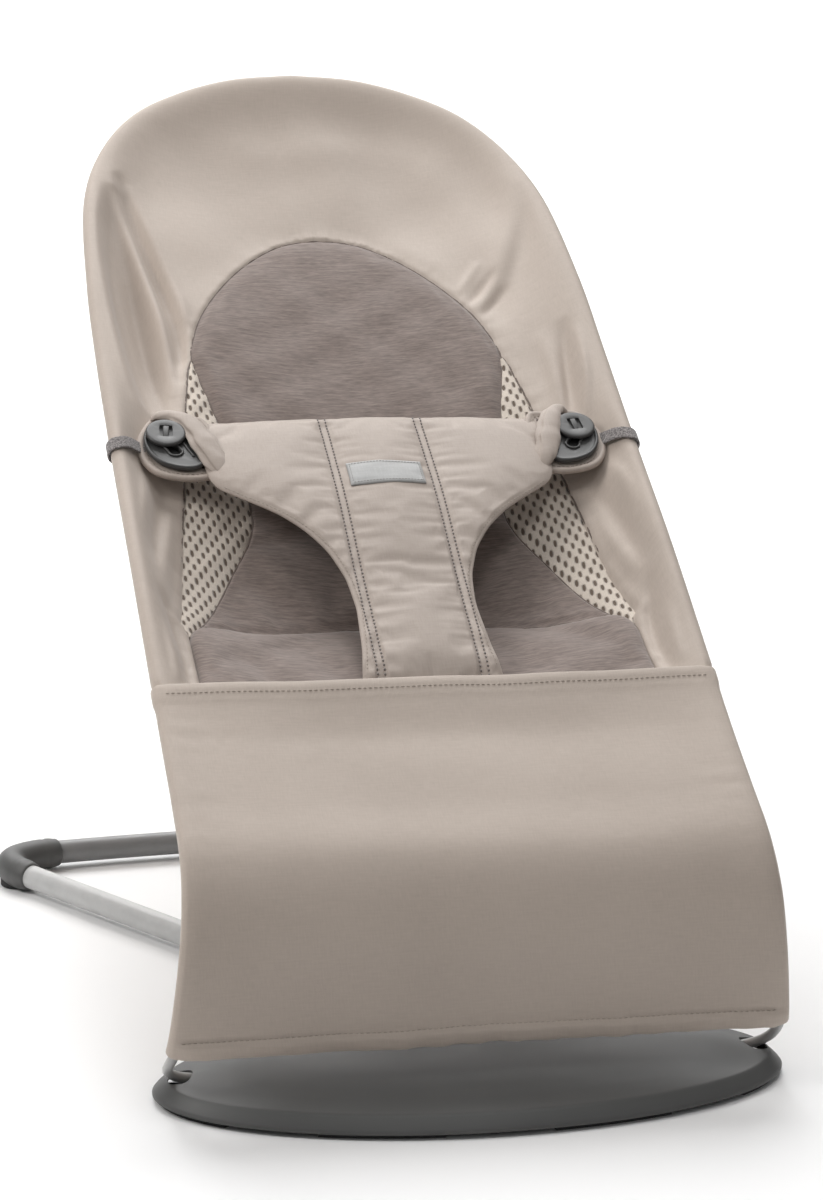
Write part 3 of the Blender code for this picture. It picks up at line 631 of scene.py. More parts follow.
# ---------------- sewn cover
def rim_frames(line):
    """Inward and upward directions along a boundary line, and the points of the seat's middle it faces."""
    tangent = unit(np.gradient(line, axis=0))
    middle = np.stack([0 * line[:, 0], np.minimum(line[:, 1], HEAD_Y), 0 * line[:, 0]], 1)
    middle[:, 2] = hoop_z(middle[:, 1])
    inward = middle - line
    inward -= tangent * np.sum(inward * tangent, axis=1)[:, None]
    inward = unit(inward)
    upward = np.cross(tangent, inward)
    flip = np.sign(np.sum(upward * up_normal(line[:, 1]), axis=1))
    return inward, upward * flip[:, None], middle


LEFT_PHASE = 3.1  # keeps the left seam's puckers unlike the right's
SLOPE_LENGTH = 1.14  # length on the seat's slope for each metre of y


def cover_stations():
    """Points round the hoop from the band's right end, over the head, to its left end."""
    right = UPPER[UPPER[:, 1] >= BAND_Y - 0.004]
    whole = np.vstack([right, (right * [-1, 1, 1])[::-1][1:]])
    return even(whole, int(length_of(whole) / 0.0034))


def sewn_cover():
    """Seat, back and head in one skin: it hangs from the hoop and wraps round the wire in a sleeve."""
    edge = cover_stations()
    inward, upward, middle = rim_frames(edge)
    reach = np.linalg.norm(middle - edge, axis=1)
    start = 0.0006
    share = 1 - (1 - np.linspace(0, 1, 74)) ** 1.5
    bases, gaps = [], []
    for b, n, m, full in zip(edge, upward, middle, reach):
        d = start + (full - start) * (1 - share)
        base = b + (m - b) / full * d[:, None]
        u = 1 - (d - start) / (full - start)
        y = min(b[1], HEAD_Y)
        tight = 1 - 0.42 * bell(b[1], PINCH_Y, 0.030)
        depth = float(SAG(y)) * np.maximum(0, 1 - u * u) ** sag_power(y)
        depth = depth * (1 - np.exp(-((d / (0.014 * tight)) ** 1.5)))
        lip = RIM_RADIUS * np.exp(-((d / (0.025 * tight)) ** 2))
        bases.append(base - np.outer(depth, [0, 0, 1]) + np.outer(lip, n))
        gaps.append(d)
    bases, rim_gap = np.array(bases), np.array(gaps)
    flat = edge[:, None] + ((middle - edge) / reach[:, None])[:, None] * rim_gap[..., None]
    flat_x, flat_y = flat[..., 0], flat[..., 1]
    inside, along = inset_depth(flat_x, flat_y)
    fold = fold_height(flat_x, flat_y) * ramp(rim_gap, 0.002, 0.016) * ramp(-inside, -0.001, 0.010)
    run = along * length_of(INSET_RIGHT) + (flat_x < 0) * LEFT_PHASE
    pucker = ruffle(run, 3, 0.017, 0.0075)
    lip = 0.0005 * bell(-inside, 0.0020, 0.0020) * (1 + 0.35 * pucker)
    draw = 0.0006 * pucker * np.exp(-np.maximum(-inside, 0) / 0.009) * (inside < 0)
    sunk = 0.0046 * ramp(inside, -0.0006, 0.0024)
    broad = 0.0011 * (wander(flat_x * 1.0 + flat_y * 0.4, 11, 0.110) + wander(flat_y - flat_x * 0.3, 12, 0.135))
    broad = broad * ramp(rim_gap, 0.010, 0.060) * ramp(-inside, 0.0, 0.02)
    height = fold + lip + draw - sunk + broad
    lifted = bases + up_normal(np.minimum(flat_y, 0.73)) * height[..., None]
    angle = np.radians(np.arange(8, 216, 13))[:, None]
    hold = RIM_RADIUS - 0.0012 * ramp(edge[:, 1], BAND_Y + 0.006, BAND_Y - 0.001)
    turns = np.cos(angle) * upward[:, None] - np.sin(angle) * inward[:, None]
    points = np.concatenate([lifted, edge[:, None] + hold[:, None, None] * turns], 1)
    cloth = points[..., :2] * [1, SLOPE_LENGTH]
    last, sleeve = len(share) - 1, len(share)
    turn = np.arange(len(angle))[None] * RIM_RADIUS * math.radians(15)
    cloth[:, sleeve:, 0] = cloth[:, last:sleeve, 0] + turn * np.sign(edge[:, :1] + 1e-9)
    beside = np.abs(edge[:, :1]) > 0.15
    cloth[:, sleeve:, 1] = np.where(beside, cloth[:, last:sleeve, 1], run_along(edge)[:, None])
    obj = grid_object("cover_seat", points, cloth)
    cleaned(obj, 0.00025)
    face_towards(obj, (0, 0, 1))
    thicken(obj, CLOTH)
    return place(obj, "seat", "cover_woven", "woven", "cover_back")


BAND_STITCH, HEM_STITCH = 0.0072, 0.0102  # how far the stitch rows lie from the panel's ends
LIP = 0.0014  # radius of the panel's turned ends


def front_panel():
    """The flat panel before the child's legs, wrapped round the hoop's side wires."""
    keep = HOOP_LINE[(HOOP_LINE[:, 1] <= BAND_Y + 0.0005) & (HOOP_LINE[:, 2] >= 0.0420)]
    edge = even(keep, 96)
    tangent = unit(np.gradient(edge, axis=0))
    outward = unit(np.cross(np.tile([1.0, 0, 0], (len(edge), 1)), tangent))
    outward *= np.sign(outward[:, 2:3] - outward[:, 1:2])
    inward = unit(np.cross(outward, tangent))
    inward *= -np.sign(inward[:, :1])
    run = run_along(edge)
    total = run[-1]
    angle = np.radians(np.arange(200, 5, -15))
    u = np.linspace(0.97, -0.97, 64)
    points, cloth = [], []
    for at, spot, out, into in zip(run, edge, outward, inward):
        rest = total - at
        radius = RIM_RADIUS + 0.0010 * ramp(rest, 0.018, 0.008)
        wrap = spot + radius * (np.cos(angle)[:, None] * out - np.sin(angle)[:, None] * into)
        flat = np.tile(spot, (len(u), 1))
        flat[:, 0] = u * (spot[0] - 0.0005)
        bow = radius - 0.0058 * (1 - u**2) ** 0.65 * ramp(at, 0, 0.05) * ramp(rest, 0, 0.05)
        bow -= 0.0016 * (1 - u**2) ** 0.8
        bow += 0.0008 * wander(u * 0.18 + at * 0.35, 21, 0.120) * (1 - u**2)
        bow += 0.0007 * wander(at + u * 0.02, 22, 0.085) * (1 - u**2)
        crease = np.exp(-((1 - np.abs(u)) / 0.10)) * 0.00025 * wander(at + 0.03 * np.sign(u), 23, 0.020)
        ends = np.exp(-at / 0.012) * 0.0006 * wander(u * 0.18, 24, 0.03)
        band = 0.0007 * ramp(rest, 0.0085, 0.0065) - 0.0009 * bell(rest, BAND_STITCH, 0.0011)
        hem = 0.0024 * ramp(at, 0.0110, 0.0088) - 0.0016 * bell(at, HEM_STITCH, 0.0011)
        flat = flat + out * (bow + crease + ends + band + hem)[:, None]
        row = np.vstack([wrap, flat, wrap[::-1] * [-1, 1, 1]])
        points.append(row)
        cloth.append(np.stack([run_along(row), np.full(len(row), at)], 1))
    points, cloth = np.array(points), np.array(cloth)
    turned, turned_cloth = [], []
    lip_run = np.linspace(0.001, 0.012, 7)[:, None]
    for row, sign, low in ((0, -1, 0.0), (-1, 1, total)):
        under = np.tile(-outward[row], (points.shape[1], 1))
        under[:len(angle)] = edge[row] - points[row, :len(angle)]
        under[-len(angle):] = edge[row] * [-1, 1, 1] - points[row, -len(angle):]
        under = unit(under)
        along = sign * tangent[row]
        lips = [points[row] + along * math.sin(a) * LIP + under * (1 - math.cos(a)) * LIP
                for a in np.radians(np.arange(30, 181, 30))]
        turned.append(np.array([*lips, points[row] + under * 2 * LIP - along * 0.006]))
        places = np.tile(cloth[row], (7, 1, 1))
        places[:, :, 1] = low + sign * lip_run
        turned_cloth.append(places)
    every = np.concatenate([turned[0][::-1], points, turned[1]])
    cloth = np.concatenate([turned_cloth[0][::-1], cloth, turned_cloth[1]])
    obj = grid_object("cover_front", every, cloth)
    face_towards(obj, (0, -1, 0))
    thicken(obj, CLOTH)
    return place(obj, "seat", "cover_woven", "woven", "leg_panel"), edge, outward


# ---------------- simulation, stitches and the front join
def inflate(obj, held, pressure, spare, frames, cap):
    """Swells a stuffed piece under pressure while the held points stay, and keeps the result, up to cap metres."""
    before = points_of(obj)
    group = obj.vertex_groups.new(name="held")
    group.add([int(i) for i in np.flatnonzero(held)], 1.0, "REPLACE")
    cloth = obj.modifiers.new("cloth", "CLOTH")
    settings = cloth.settings
    settings.quality = 6
    settings.mass = 0.15
    settings.tension_stiffness = settings.compression_stiffness = 12
    settings.shear_stiffness = 4
    settings.bending_stiffness = 1.2
    settings.vertex_group_mass = "held"
    settings.use_pressure = True
    settings.uniform_pressure_force = pressure
    settings.shrink_min = -spare
    settings.effector_weights.gravity = 0
    cloth.collision_settings.use_collision = False
    scene = bpy.context.scene
    for step in range(1, frames + 1):
        scene.frame_set(step)
    move = points_of(obj.evaluated_get(bpy.context.evaluated_depsgraph_get())) - before
    far = np.linalg.norm(move, axis=1)
    far[far == 0] = 1
    move *= np.minimum(1, cap * np.tanh(far / cap) / far)[:, None]
    obj.modifiers.remove(cloth)
    obj.vertex_groups.remove(group)
    obj.data.vertices.foreach_set("co", (before + move).astype(np.float32).ravel())
    obj.data.update()
    scene.frame_set(1)


def tree_of(obj):
    return BVHTree.FromObject(obj, bpy.context.evaluated_depsgraph_get())


def dropped(tree, point, normal, reach=0.03):
    """Where a line along the normal through the point first meets the surface from above, in the row's frame."""
    point, normal = Vector(point) + Vector(SHIFT), Vector(normal).normalized()
    hit, face_normal, _, _ = tree.ray_cast(point + normal * reach, -normal, 2 * reach)
    return (hit, face_normal) if hit else (None, None)


STITCH_ALONG = np.array([-0.5, -0.38, -0.16, 0.16, 0.38, 0.5])
STITCH_THICK = np.array([0.25, 0.8, 1.0, 1.0, 0.8, 0.25])
STITCH_DIP = np.array([-1.3, -0.35, 0.25, 0.25, -0.35, -1.3])


def stitches(name, line, normals, length=0.0024, gap=0.0009, radius=0.00034, lift=0.00012, ready=False):
    """A run of thread stitches along a line on a surface, as one mesh."""
    line, normals = np.array(line, float), np.array(normals, float)
    run = run_along(line)
    angle = np.linspace(0, 2 * np.pi, 6, endpoint=False)
    rings, sides = len(STITCH_ALONG), len(angle)
    one = tube_faces(rings, sides)
    points, faces = [], []
    for k in range(int(run[-1] / (length + gap))):
        middle = (k + 0.5) * (length + gap)
        centre = at_run(line, run, middle + STITCH_ALONG * length)
        n = at_run(normals, run, middle)
        n /= np.linalg.norm(n)
        t = centre[-1] - centre[0]
        t /= np.linalg.norm(t) + 1e-12
        b = np.cross(n, t)
        n = np.cross(t, b)
        centre = centre + n * (lift + STITCH_DIP * radius)[:, None]
        ring = np.cos(angle)[None, :, None] * b + np.sin(angle)[None, :, None] * n
        body = centre[:, None] + ring * (radius * STITCH_THICK)[:, None, None]
        points.append(body.reshape(-1, 3))
        faces += [tuple(k * rings * sides + i for i in f) for f in one]
    return mesh_object(name, np.vstack(points), faces, shift=not ready)


def stitched_on(name, obj, points, normal, body, slot, look, **sizes):
    """Stitches laid on a finished piece, on the points dropped on it along the normal."""
    tree = tree_of(obj)
    found = [dropped(tree, point, normal) for point in points]
    line, normals = zip(*[pair for pair in found if pair[0]])
    return place(stitches(name, line, normals, ready=True, **sizes), body, slot, look)


def front_join():
    """The strip that closes the seat's front end up to the back of the front panel's band."""
    u = np.linspace(-0.985, 0.985, 90)
    low_y, high_y = BAND_Y + 0.0035, BAND_Y - 0.0030
    low = seat_point(u * (float(hoop_x(low_y)) - 0.003), low_y) + [0, 0, 0.0016]
    lowest = low + [0, 0.010, 0.0020]
    high_z = float(hoop_z(high_y)) + RIM_RADIUS - 0.0058 - 0.0015 * (1 - u**2)
    high = np.stack([low[:, 0], 0 * u + high_y, 0 * u + high_z], 1)
    rows = [lowest]
    for t in np.linspace(0, 1, 14):
        bulge = np.array([0, -0.0016, 0.0]) * math.sin(math.pi * t)
        rows.append(low + (high - low) * t + bulge + [0, 0, 0.0003] * np.sin(u[:, None] * 40 + t))
    points = np.array(rows)
    cloth = np.stack([points[..., 0], np.repeat(np.linspace(0, 0.03, len(rows))[:, None], len(u), 1)], -1)
    obj = grid_object("cover_join", points, cloth)
    thicken(obj, 0.0010, 0)
    place(obj, "seat", "cover_woven", "woven")


# ---------------- padded panel and gussets
PAD_SIDE = mm([
    (151.2, 168), (150.5, 200), (150, 236), (136, 262), (112, 310), (93, 345), (89, 370), (96, 410), (106, 450),
    (114, 487),
])
PAD_RIGHT = even(smooth(PAD_SIDE + ARCH_TOP[1:], 8), 260)
PAD_START, PAD_TOP = 0.168, 0.6160


def pad_half(y):
    return np.interp(y, PAD_RIGHT[:, 1], PAD_RIGHT[:, 0])


def crease_y(x):
    """The seam across the seat, which bows back in the middle."""
    return np.interp(np.abs(x), [0, 0.04, 0.081, 0.115, 0.150], [0.280, 0.277, 0.267, 0.2605, 0.2540])


def padded_panel():
    """The foam-backed jersey that the child lies on, swollen between its border and its seat seam."""
    rise = np.concatenate([np.linspace(0, 0.93, 118), 1 - 0.07 * (1 - np.linspace(0, 1, 22)[1:]) ** 2])
    ys = PAD_START + (PAD_TOP - 0.0004 - PAD_START) * rise
    us = np.sin(np.linspace(-1, 1, 92) * np.pi / 2 * 0.92) / math.sin(np.pi / 2 * 0.92)
    y = np.repeat(ys[:, None], len(us), 1)
    x = us[None] * pad_half(ys)[:, None]
    gap, _ = to_line(np.stack([np.abs(x).ravel(), y.ravel()], 1), PAD_RIGHT)
    gap = gap.reshape(x.shape)
    front = ramp(crease_y(x) - y, -0.004, 0.012)
    seam = bell(y, crease_y(x), 0.0034) * ramp(gap, 0.0, 0.006)
    edge = np.sqrt(np.clip(1 - (1 - np.clip(gap / 0.0105, 0, 1)) ** 2, 0, 1))
    pucker = ruffle(x, 31, 0.021, 0.009)
    plump = 0.0036 + 0.0056 * front - 0.0040 * seam
    draw = 0.0006 * pucker * np.exp(-np.abs(y - crease_y(x)) / 0.011)
    soft = 0.0007 * wander(x * 1.2 + y, 33, 0.080) + 0.0006 * wander(y * 1.1 - x * 0.6, 34, 0.065)
    top_height = -0.0016 + edge * (plump + (draw + soft) * ramp(gap, 0.002, 0.02))
    base = seat_point(x, y)
    normal = up_normal(y)
    top = base + normal * top_height[..., None]
    under = base + normal * (-0.0030 - 0.0008 * edge)[..., None]
    across = np.array([run_along(row) for row in base])
    across -= across[:, [len(us) // 2]]
    up = run_along(base[:, len(us) // 2])
    cloth = np.stack([across, np.repeat(up[:, None], len(us), 1)], -1)
    # The border of both skins meets.
    for index in BORDER:
        under[index] = top[index]
    obj = panel_solid("padded_panel", top, under, cloth)
    co = points_of(obj) - SHIFT
    above = (co - seat_point(co[:, 0], co[:, 1])) @ np.array([0.0, 0.0, 1.0])
    near, _ = to_line(np.abs(co[:, :2]), PAD_RIGHT)
    in_crease = np.abs(co[:, 1] - crease_y(co[:, 0])) < 0.0022
    held = (above < -0.0022) | (near < 0.0025) | in_crease | (co[:, 1] < PAD_START + 0.002)
    inflate(obj, held, 1.8, 0.006, 14, 0.0040)
    modifier(obj, "SMOOTH", factor=0.5, iterations=2)
    bake(obj)
    place(obj, "seat", "pad_jersey", "jersey", "inner_pad")
    tree, line = tree_of(obj), []
    for x in np.linspace(-0.138, 0.138, 150):
        hit, _ = dropped(tree, seat_point(x, crease_y(x)), up_normal(crease_y(x)))
        if hit:
            line.append(np.array(hit) - SHIFT - up_normal(crease_y(x)) * 0.00025)
    # The dark cord along the crease is partly thread and partly painted shade of the crease.
    place(sweep("crease_seam", np.array(line), 0.0006, 8), "seat", "pad_jersey", "seam")


def gusset(side, word):
    """A crescent of open spacer mesh between the panel's seam and the cover's seam."""
    ys = np.linspace(0.2370, 0.4860, 96)
    across = np.linspace(0, 1, 18)
    inner = pad_half(ys) - 0.0012
    outer = np.interp(ys, INSET_RIGHT[:, 1], INSET_RIGHT[:, 0]) + 0.0004
    outer = np.maximum(outer, inner + 0.0008)
    x = inner[:, None] + (outer - inner)[:, None] * across[None]
    y = np.repeat(ys[:, None], len(across), 1)
    wide = (outer - inner)[:, None]
    bulge = np.sin(np.pi * across)[None] ** 0.7
    height = -0.0018 + bulge * (0.0024 + 0.03 * wide) + 0.0004 * wander(y + x, 41 + side, 0.03)
    points = seat_point(x * side, y) + up_normal(y) * height[..., None]
    run = run_along(points[:, 9])
    cloth = np.stack([x + 1.0, np.repeat(run[:, None], len(across), 1)], -1)
    obj = grid_object(f"mesh_gusset_cloth_{word}", points, cloth)
    face_towards(obj, (0, 0, 1))
    thicken(obj, 0.0016)
    return place(obj, "seat", "gusset_mesh", "mesh", f"mesh_gusset_{word}")


def inset_seams():
    """The dark line round the panel and along the gussets' outer edges: a sewn thread, darkened as painted shade of the
    seam's groove.
    """
    pad_edge = PAD_RIGHT[PAD_RIGHT[:, 1] > 0.172]
    whole = np.vstack([pad_edge, (pad_edge * [-1, 1])[::-1][1:]])
    lines = [("panel_seam", even(whole, 420), 0.0)]
    outer = INSET_RIGHT[(INSET_RIGHT[:, 1] > 0.236) & (INSET_RIGHT[:, 1] < 0.489)]
    lines += [(f"gusset_seam_{word}", even(outer * [side, 1], 150), 0.0006) for side, word in SIDES]
    for name, flat, out in lines:
        run = np.linspace(0, length_of(flat), len(flat))
        height = -0.0011 + 0.0003 * wander(run, 81, 0.012)
        points = seat_point(flat[:, 0] + out * np.sign(flat[:, 0]), flat[:, 1])
        points = points + up_normal(flat[:, 1]) * height[:, None]
        thread = sweep(name, points, 0.00075, 8, taper=1 + 0.12 * wander(run, 82, 0.004))
        place(thread, "seat", "pad_jersey", "seam")


# ---------------- restraint
FOOT_Z, SLOPE, FOOT_Y, TOP_Y = 0.2195, 0.488, 0.167, 0.412
SLING_Y = 0.176  # the restraint hinges here, at height FOOT_Z
HARNESS_HALF = table(mm([
    (170, 48), (176, 47.2), (200, 43.2), (235, 40.5), (260, 43), (282, 51), (300, 63.5), (316, 79.5),
    (331, 100), (343, 116), (352, 121.5), (380, 124), (412, 124),
]), 0.0040)
SLING_NORMAL = np.array([0, -SLOPE, 1]) / math.hypot(SLOPE, 1)
STITCH_X = (0.0315, 0.0365)  # the double rows, on each side
CHANNEL_X = 0.034  # the groove between them
THICK = 0.008


def sling(x, y):
    """The restraint's lower face, as the CAD has it; its foot dips behind the front panel's band."""
    x, y = np.broadcast_arrays(np.asarray(x, float), np.asarray(y, float))
    share = np.clip((y - SLING_Y) / (TOP_Y - SLING_Y), 0, 1)
    tuck = 0.0075 * ramp(0.190 - y, 0, 0.023)
    z = FOOT_Z + SLOPE * (y - SLING_Y) + 0.004 * np.sin(np.pi * share) + 0.007 * (x / 0.133) ** 2 - tuck
    z = z + 0.0085 * np.clip(1 - (x / 0.115) ** 2, 0, 1) * ramp(y, 0.24, 0.34)
    return np.stack([x, y, z], -1)


def restraint():
    """The padded T between the child's legs: three stuffed channels between double rows of stitches."""
    ys = np.linspace(FOOT_Y, TOP_Y, 104)
    us = np.linspace(-1, 1, 100)
    half = HARNESS_HALF(ys)
    x = us[None] * half[:, None]
    y = np.repeat(ys[:, None], len(us), 1)
    top_wave = 0.0006 * wander(x[-1], 51, 0.05)
    top_wave = top_wave + 0.0022 * np.minimum(1, np.abs(np.abs(x[-1]) - CHANNEL_X) / 0.016) ** 0.6
    y = y + (ramp(y, 0.385, TOP_Y) * top_wave[None])
    edge_line = np.vstack([np.stack([half, ys], 1), [[0.0, TOP_Y]]])
    gap, _ = to_line(np.stack([np.abs(x).ravel(), y.ravel()], 1), edge_line)
    gap = gap.reshape(x.shape)
    seam = sum(bell(np.abs(x), s, 0.0016) for s in STITCH_X)
    seam = np.clip(seam + 0.75 * bell(np.abs(x), CHANNEL_X, 0.0022), 0, 1)
    flange = ramp(gap, 0.0012, 0.0042)
    crown = np.sqrt(np.clip(1 - (1 - np.clip((gap - 0.001) / 0.016, 0, 1)) ** 2, 0, 1))
    thick = 0.0024 * ramp(gap, -0.0005, 0.0008) + flange * crown * 0.0056
    thick = thick - 0.0036 * seam * ramp(gap, 0.002, 0.012)
    pull = np.exp(-np.abs(np.abs(x) - CHANNEL_X) / 0.012)
    pucker = ruffle(y, 61, 0.0165, 0.0088, 0.6)
    side_phase = ruffle(y, 63, 0.0150, 0.0080, 0.6)
    ripple = 0.0010 * pull * np.where(x > 0, pucker, side_phase) * (1 - seam) * flange
    rim_ripple = 0.0007 * wander(y + np.abs(x), 65, 0.019) * np.exp(-gap / 0.010) * flange
    centre = sling(x, y) + SLING_NORMAL * (THICK / 2)
    top = centre + SLING_NORMAL * (thick / 2 + ripple + rim_ripple + 0.0002)[..., None]
    under = centre - SLING_NORMAL * (thick / 2 - 0.4 * ripple)[..., None]
    cloth = np.stack([x, y * 1.12], -1)
    for index in BORDER:
        under[index] = top[index] = centre[index]
    obj = panel_solid("restraint_pad", top, under, cloth)
    co = points_of(obj) - SHIFT
    near_seam = np.min([np.abs(np.abs(co[:, 0]) - s) for s in STITCH_X], axis=0) < 0.0018
    rim, _ = to_line(np.stack([np.abs(co[:, 0]), co[:, 1]], 1), edge_line)
    held = near_seam | (rim < 0.0030) | (co[:, 1] < FOOT_Y + 0.003)
    inflate(obj, held, 3.0, 0.009, 18, 0.0050)
    modifier(obj, "SUBSURF", levels=1, render_levels=1)
    bake(obj)
    place(obj, "harness", "harness_woven", "restraint", "harness_panel")
    for side, word in SIDES:
        for number, out in enumerate(STITCH_X):
            row = [sling(side * out, y) for y in np.linspace(FOOT_Y + 0.0075, TOP_Y - 0.002, 90)]
            stitched_on(
                f"restraint_stitch_{word}_{number}", obj, row, SLING_NORMAL, "harness", "elastic", "thread",
                length=0.0023, gap=0.0012, radius=0.00058, lift=0.0003,
            )
        ys = np.linspace(FOOT_Y + 0.016, 0.345, 100)
        hem = [sling(side * (HARNESS_HALF(y) - 0.0034), y) for y in ys]
        stitched_on(
            f"restraint_hem_{word}", obj, hem, SLING_NORMAL, "harness", "harness_woven", "pale_thread", radius=0.00026,
        )
    return obj


def label(pad):
    """A blank woven ribbon, folded under at its edges and stitched all round."""
    tree = tree_of(pad)
    half_x, low_y, high_y = 0.0262, 0.3345, 0.3570
    xs = np.linspace(-half_x, half_x, 34)
    ys = np.linspace(low_y, high_y, 16)
    rows = np.array([[dropped(tree, sling(x, y), SLING_NORMAL)[0] for x in xs] for y in ys]) - SHIFT
    height = (rows - sling(0, 0.350)) @ SLING_NORMAL
    flat = rows - SLING_NORMAL * ((height - height.mean()) * 0.15)[..., None]
    gap = np.minimum((half_x - np.abs(xs))[None], np.minimum(ys - low_y, high_y - ys)[:, None])
    lift = 0.0006 + 0.0009 * np.sqrt(np.clip(gap / 0.0012, 0, 1)) - 0.0004 * bell(gap, 0.0024, 0.0007)
    flat = flat + SLING_NORMAL * lift[..., None]
    cloth = np.stack([np.repeat(xs[None], len(ys), 0), np.repeat(ys[:, None], len(xs), 1)], -1)
    obj = grid_object("restraint_label", flat, cloth)
    thicken(obj, 0.0007)
    place(obj, "harness", "label", "label", "harness_label")
    inset = 0.0020
    x, low, high = half_x - inset, low_y + inset, high_y - inset
    row = even([(-x, low), (x, low), (x, high), (-x, high), (-x, low)], 200)
    stitched_on(
        "label_stitch", obj, [sling(*spot) for spot in row], SLING_NORMAL, "harness", "elastic", "thread",
        length=0.0016, gap=0.0006, radius=0.00018,
    )


# ---------------- tabs, keyhole plates, buttons, straps
BUTTON = (0.1455, 0.3895)
STRAP_END_Y = 0.3745


def strap_axes(side, x, y, lift):
    """Frame on the hoop's plane: X to the right, Y up the slope, Z off the seat. In the row frame."""
    normal = Vector(up_normal(np.array(y)))
    up = normal.cross(Vector((1, 0, 0)))
    turned = Matrix((Vector((1, 0, 0)), up, normal)).transposed().to_4x4()
    spot = Vector((side * x, y, float(hoop_z(y)))) + normal * lift + Vector(SHIFT)
    return Matrix.Translation(spot) @ turned


def rounded_outline(half_x, half_y, power, count=72):
    angle = np.linspace(0, 2 * np.pi, count, endpoint=False)
    c, s = np.cos(angle), np.sin(angle)
    return np.stack([half_x * np.sign(c) * np.abs(c) ** power, half_y * np.sign(s) * np.abs(s) ** power], 1)


def domed_plate(name, outline, profile, matrix):
    """A plate from an outline shrunk through a profile of (inset, height) rows, bottom to top."""
    outline = np.array(outline)
    normals = np.roll(outline, -1, 0) - np.roll(outline, 1, 0)
    normals = unit(np.stack([normals[:, 1], -normals[:, 0]], 1))
    rings = [np.column_stack([outline - normals * inset, np.full(len(outline), height)]) for inset, height in profile]
    obj = mesh_object(name, np.vstack(rings), tube_faces(len(rings), len(outline)), shift=False)
    obj.data.transform(matrix)
    return obj


def cut_out(obj, cutter):
    """Cuts the cutter's shape out of the piece, and removes the cutter."""
    modifier(obj, "BOOLEAN", object=cutter, operation="DIFFERENCE", solver="EXACT")
    bake(obj)
    bpy.data.objects.remove(cutter, do_unlink=True)
    return obj


def soften(obj, width, segments=2, angle=35):
    """Rounds the sharp edges and shades the rest smooth."""
    modifier(obj, "BEVEL", width=width, segments=segments, limit_method="ANGLE", angle_limit=math.radians(angle))
    bake(obj)
    obj.data.shade_smooth()
    obj.data.set_sharp_from_angle(angle=math.radians(38))
    return obj


def closed_line(points, count):
    """Even points round the smooth closed curve through the given ones, in metres from millimetres."""
    ring = list(points) + list(points[:3])
    line = smooth(ring, 10)[10:10 * (len(points) + 1) + 1] / 1000
    return even(line, count + 1)[:-1]


def turned_to(side, points):
    """Outline points written as (away from the middle, up) for this side, counter-clockwise."""
    turned = [(side * x, y) for x, y in points]
    return turned if side < 0 else turned[::-1]


def seat_uv(obj):
    """Cloth coordinates straight from x and y, for small flat pieces."""
    layer = obj.data.uv_layers.new(name="cloth")
    corners = np.empty(len(obj.data.loops), np.int64)
    obj.data.loops.foreach_get("vertex_index", corners)
    flat = points_of(obj)[:, :2]
    layer.data.foreach_set("uv", flat[corners].astype(np.float32).ravel())


TAB = [
    (-30, 22), (-15, 24), (2, 25), (9, 22), (14, 14), (19, 3), (20.5, -9), (18, -23), (10, -35), (-4, -41),
    (-20, -42), (-33, -36), (-36, -8),
]
KEYHOLE_OUTLINE = [
    (-22, 9), (-12, 13), (0, 14), (10, 11), (14.5, 3), (15.5, -7), (13, -18), (6, -28), (-6, -34), (-18, -34),
    (-25, -26), (-26, -8),
]
VISIBLE_LIFT = -0.0025  # of the keyhole plate, off the hoop's plane
RIM_OUT = 0.0011  # from the groove's edge to the middle of its rim


def tab(side, word):
    """The sewn fabric ear under the keyhole plate, with a thick rolled edge."""
    axes = strap_axes(side, *BUTTON, VISIBLE_LIFT - 0.0034)
    outline = closed_line(turned_to(side, TAB), 132)
    profile = mm([
        (3.2, -3.2), (0.9, -2.9), (0, -1.7), (0, -0.4), (0.8, 0.9), (2.3, 1.4), (3.8, 0.9), (5, 0.1), (7.5, 0),
        (12, 0),
    ])
    obj = domed_plate(f"restraint_tab_{word}", outline, profile, axes)
    seat_uv(obj)
    place(obj, "harness", "harness_woven", "restraint")
    inner = closed_line(turned_to(side, [(x * 0.80 - 2, (y + 9) * 0.84 - 9) for x, y in TAB]), 132)
    line = np.array([tuple(axes @ Vector((x, y, 0.0002))) for x, y in np.vstack([inner, inner[:1]])])
    normals = np.tile(np.array(axes.to_3x3() @ Vector((0, 0, 1))), (len(line), 1))
    thread = stitches(f"tab_stitch_{word}", line, normals, ready=True, radius=0.00028)
    place(thread, "harness", "harness_woven", "pale_thread")


WING_FOLD = {
    -1: [(8, 20, -1.5, 2.0), (3, 22.5, 0.3, 3.6), (-6, 21, 1.8, 5.6), (-14.5, 13, 3.0, 7.4), (-20.5, 1, 3.6, 8.8),
         (-25, -12, 3.4, 9.6), (-29.5, -25, 2.2, 9.4), (-34, -38, 0.0, 7.4), (-39, -50, -3.6, 4.0)],
    1: [(0, 22, -1.2, 2.0), (-6, 23, 1.0, 4.0), (-12, 17, 2.6, 6.2), (-17.5, 6, 3.8, 7.8), (-21.5, -8, 4.0, 8.8),
        (-25, -22, 3.0, 8.4), (-30, -36, 0.8, 6.4), (-35, -46, -3.0, 3.4)],
}


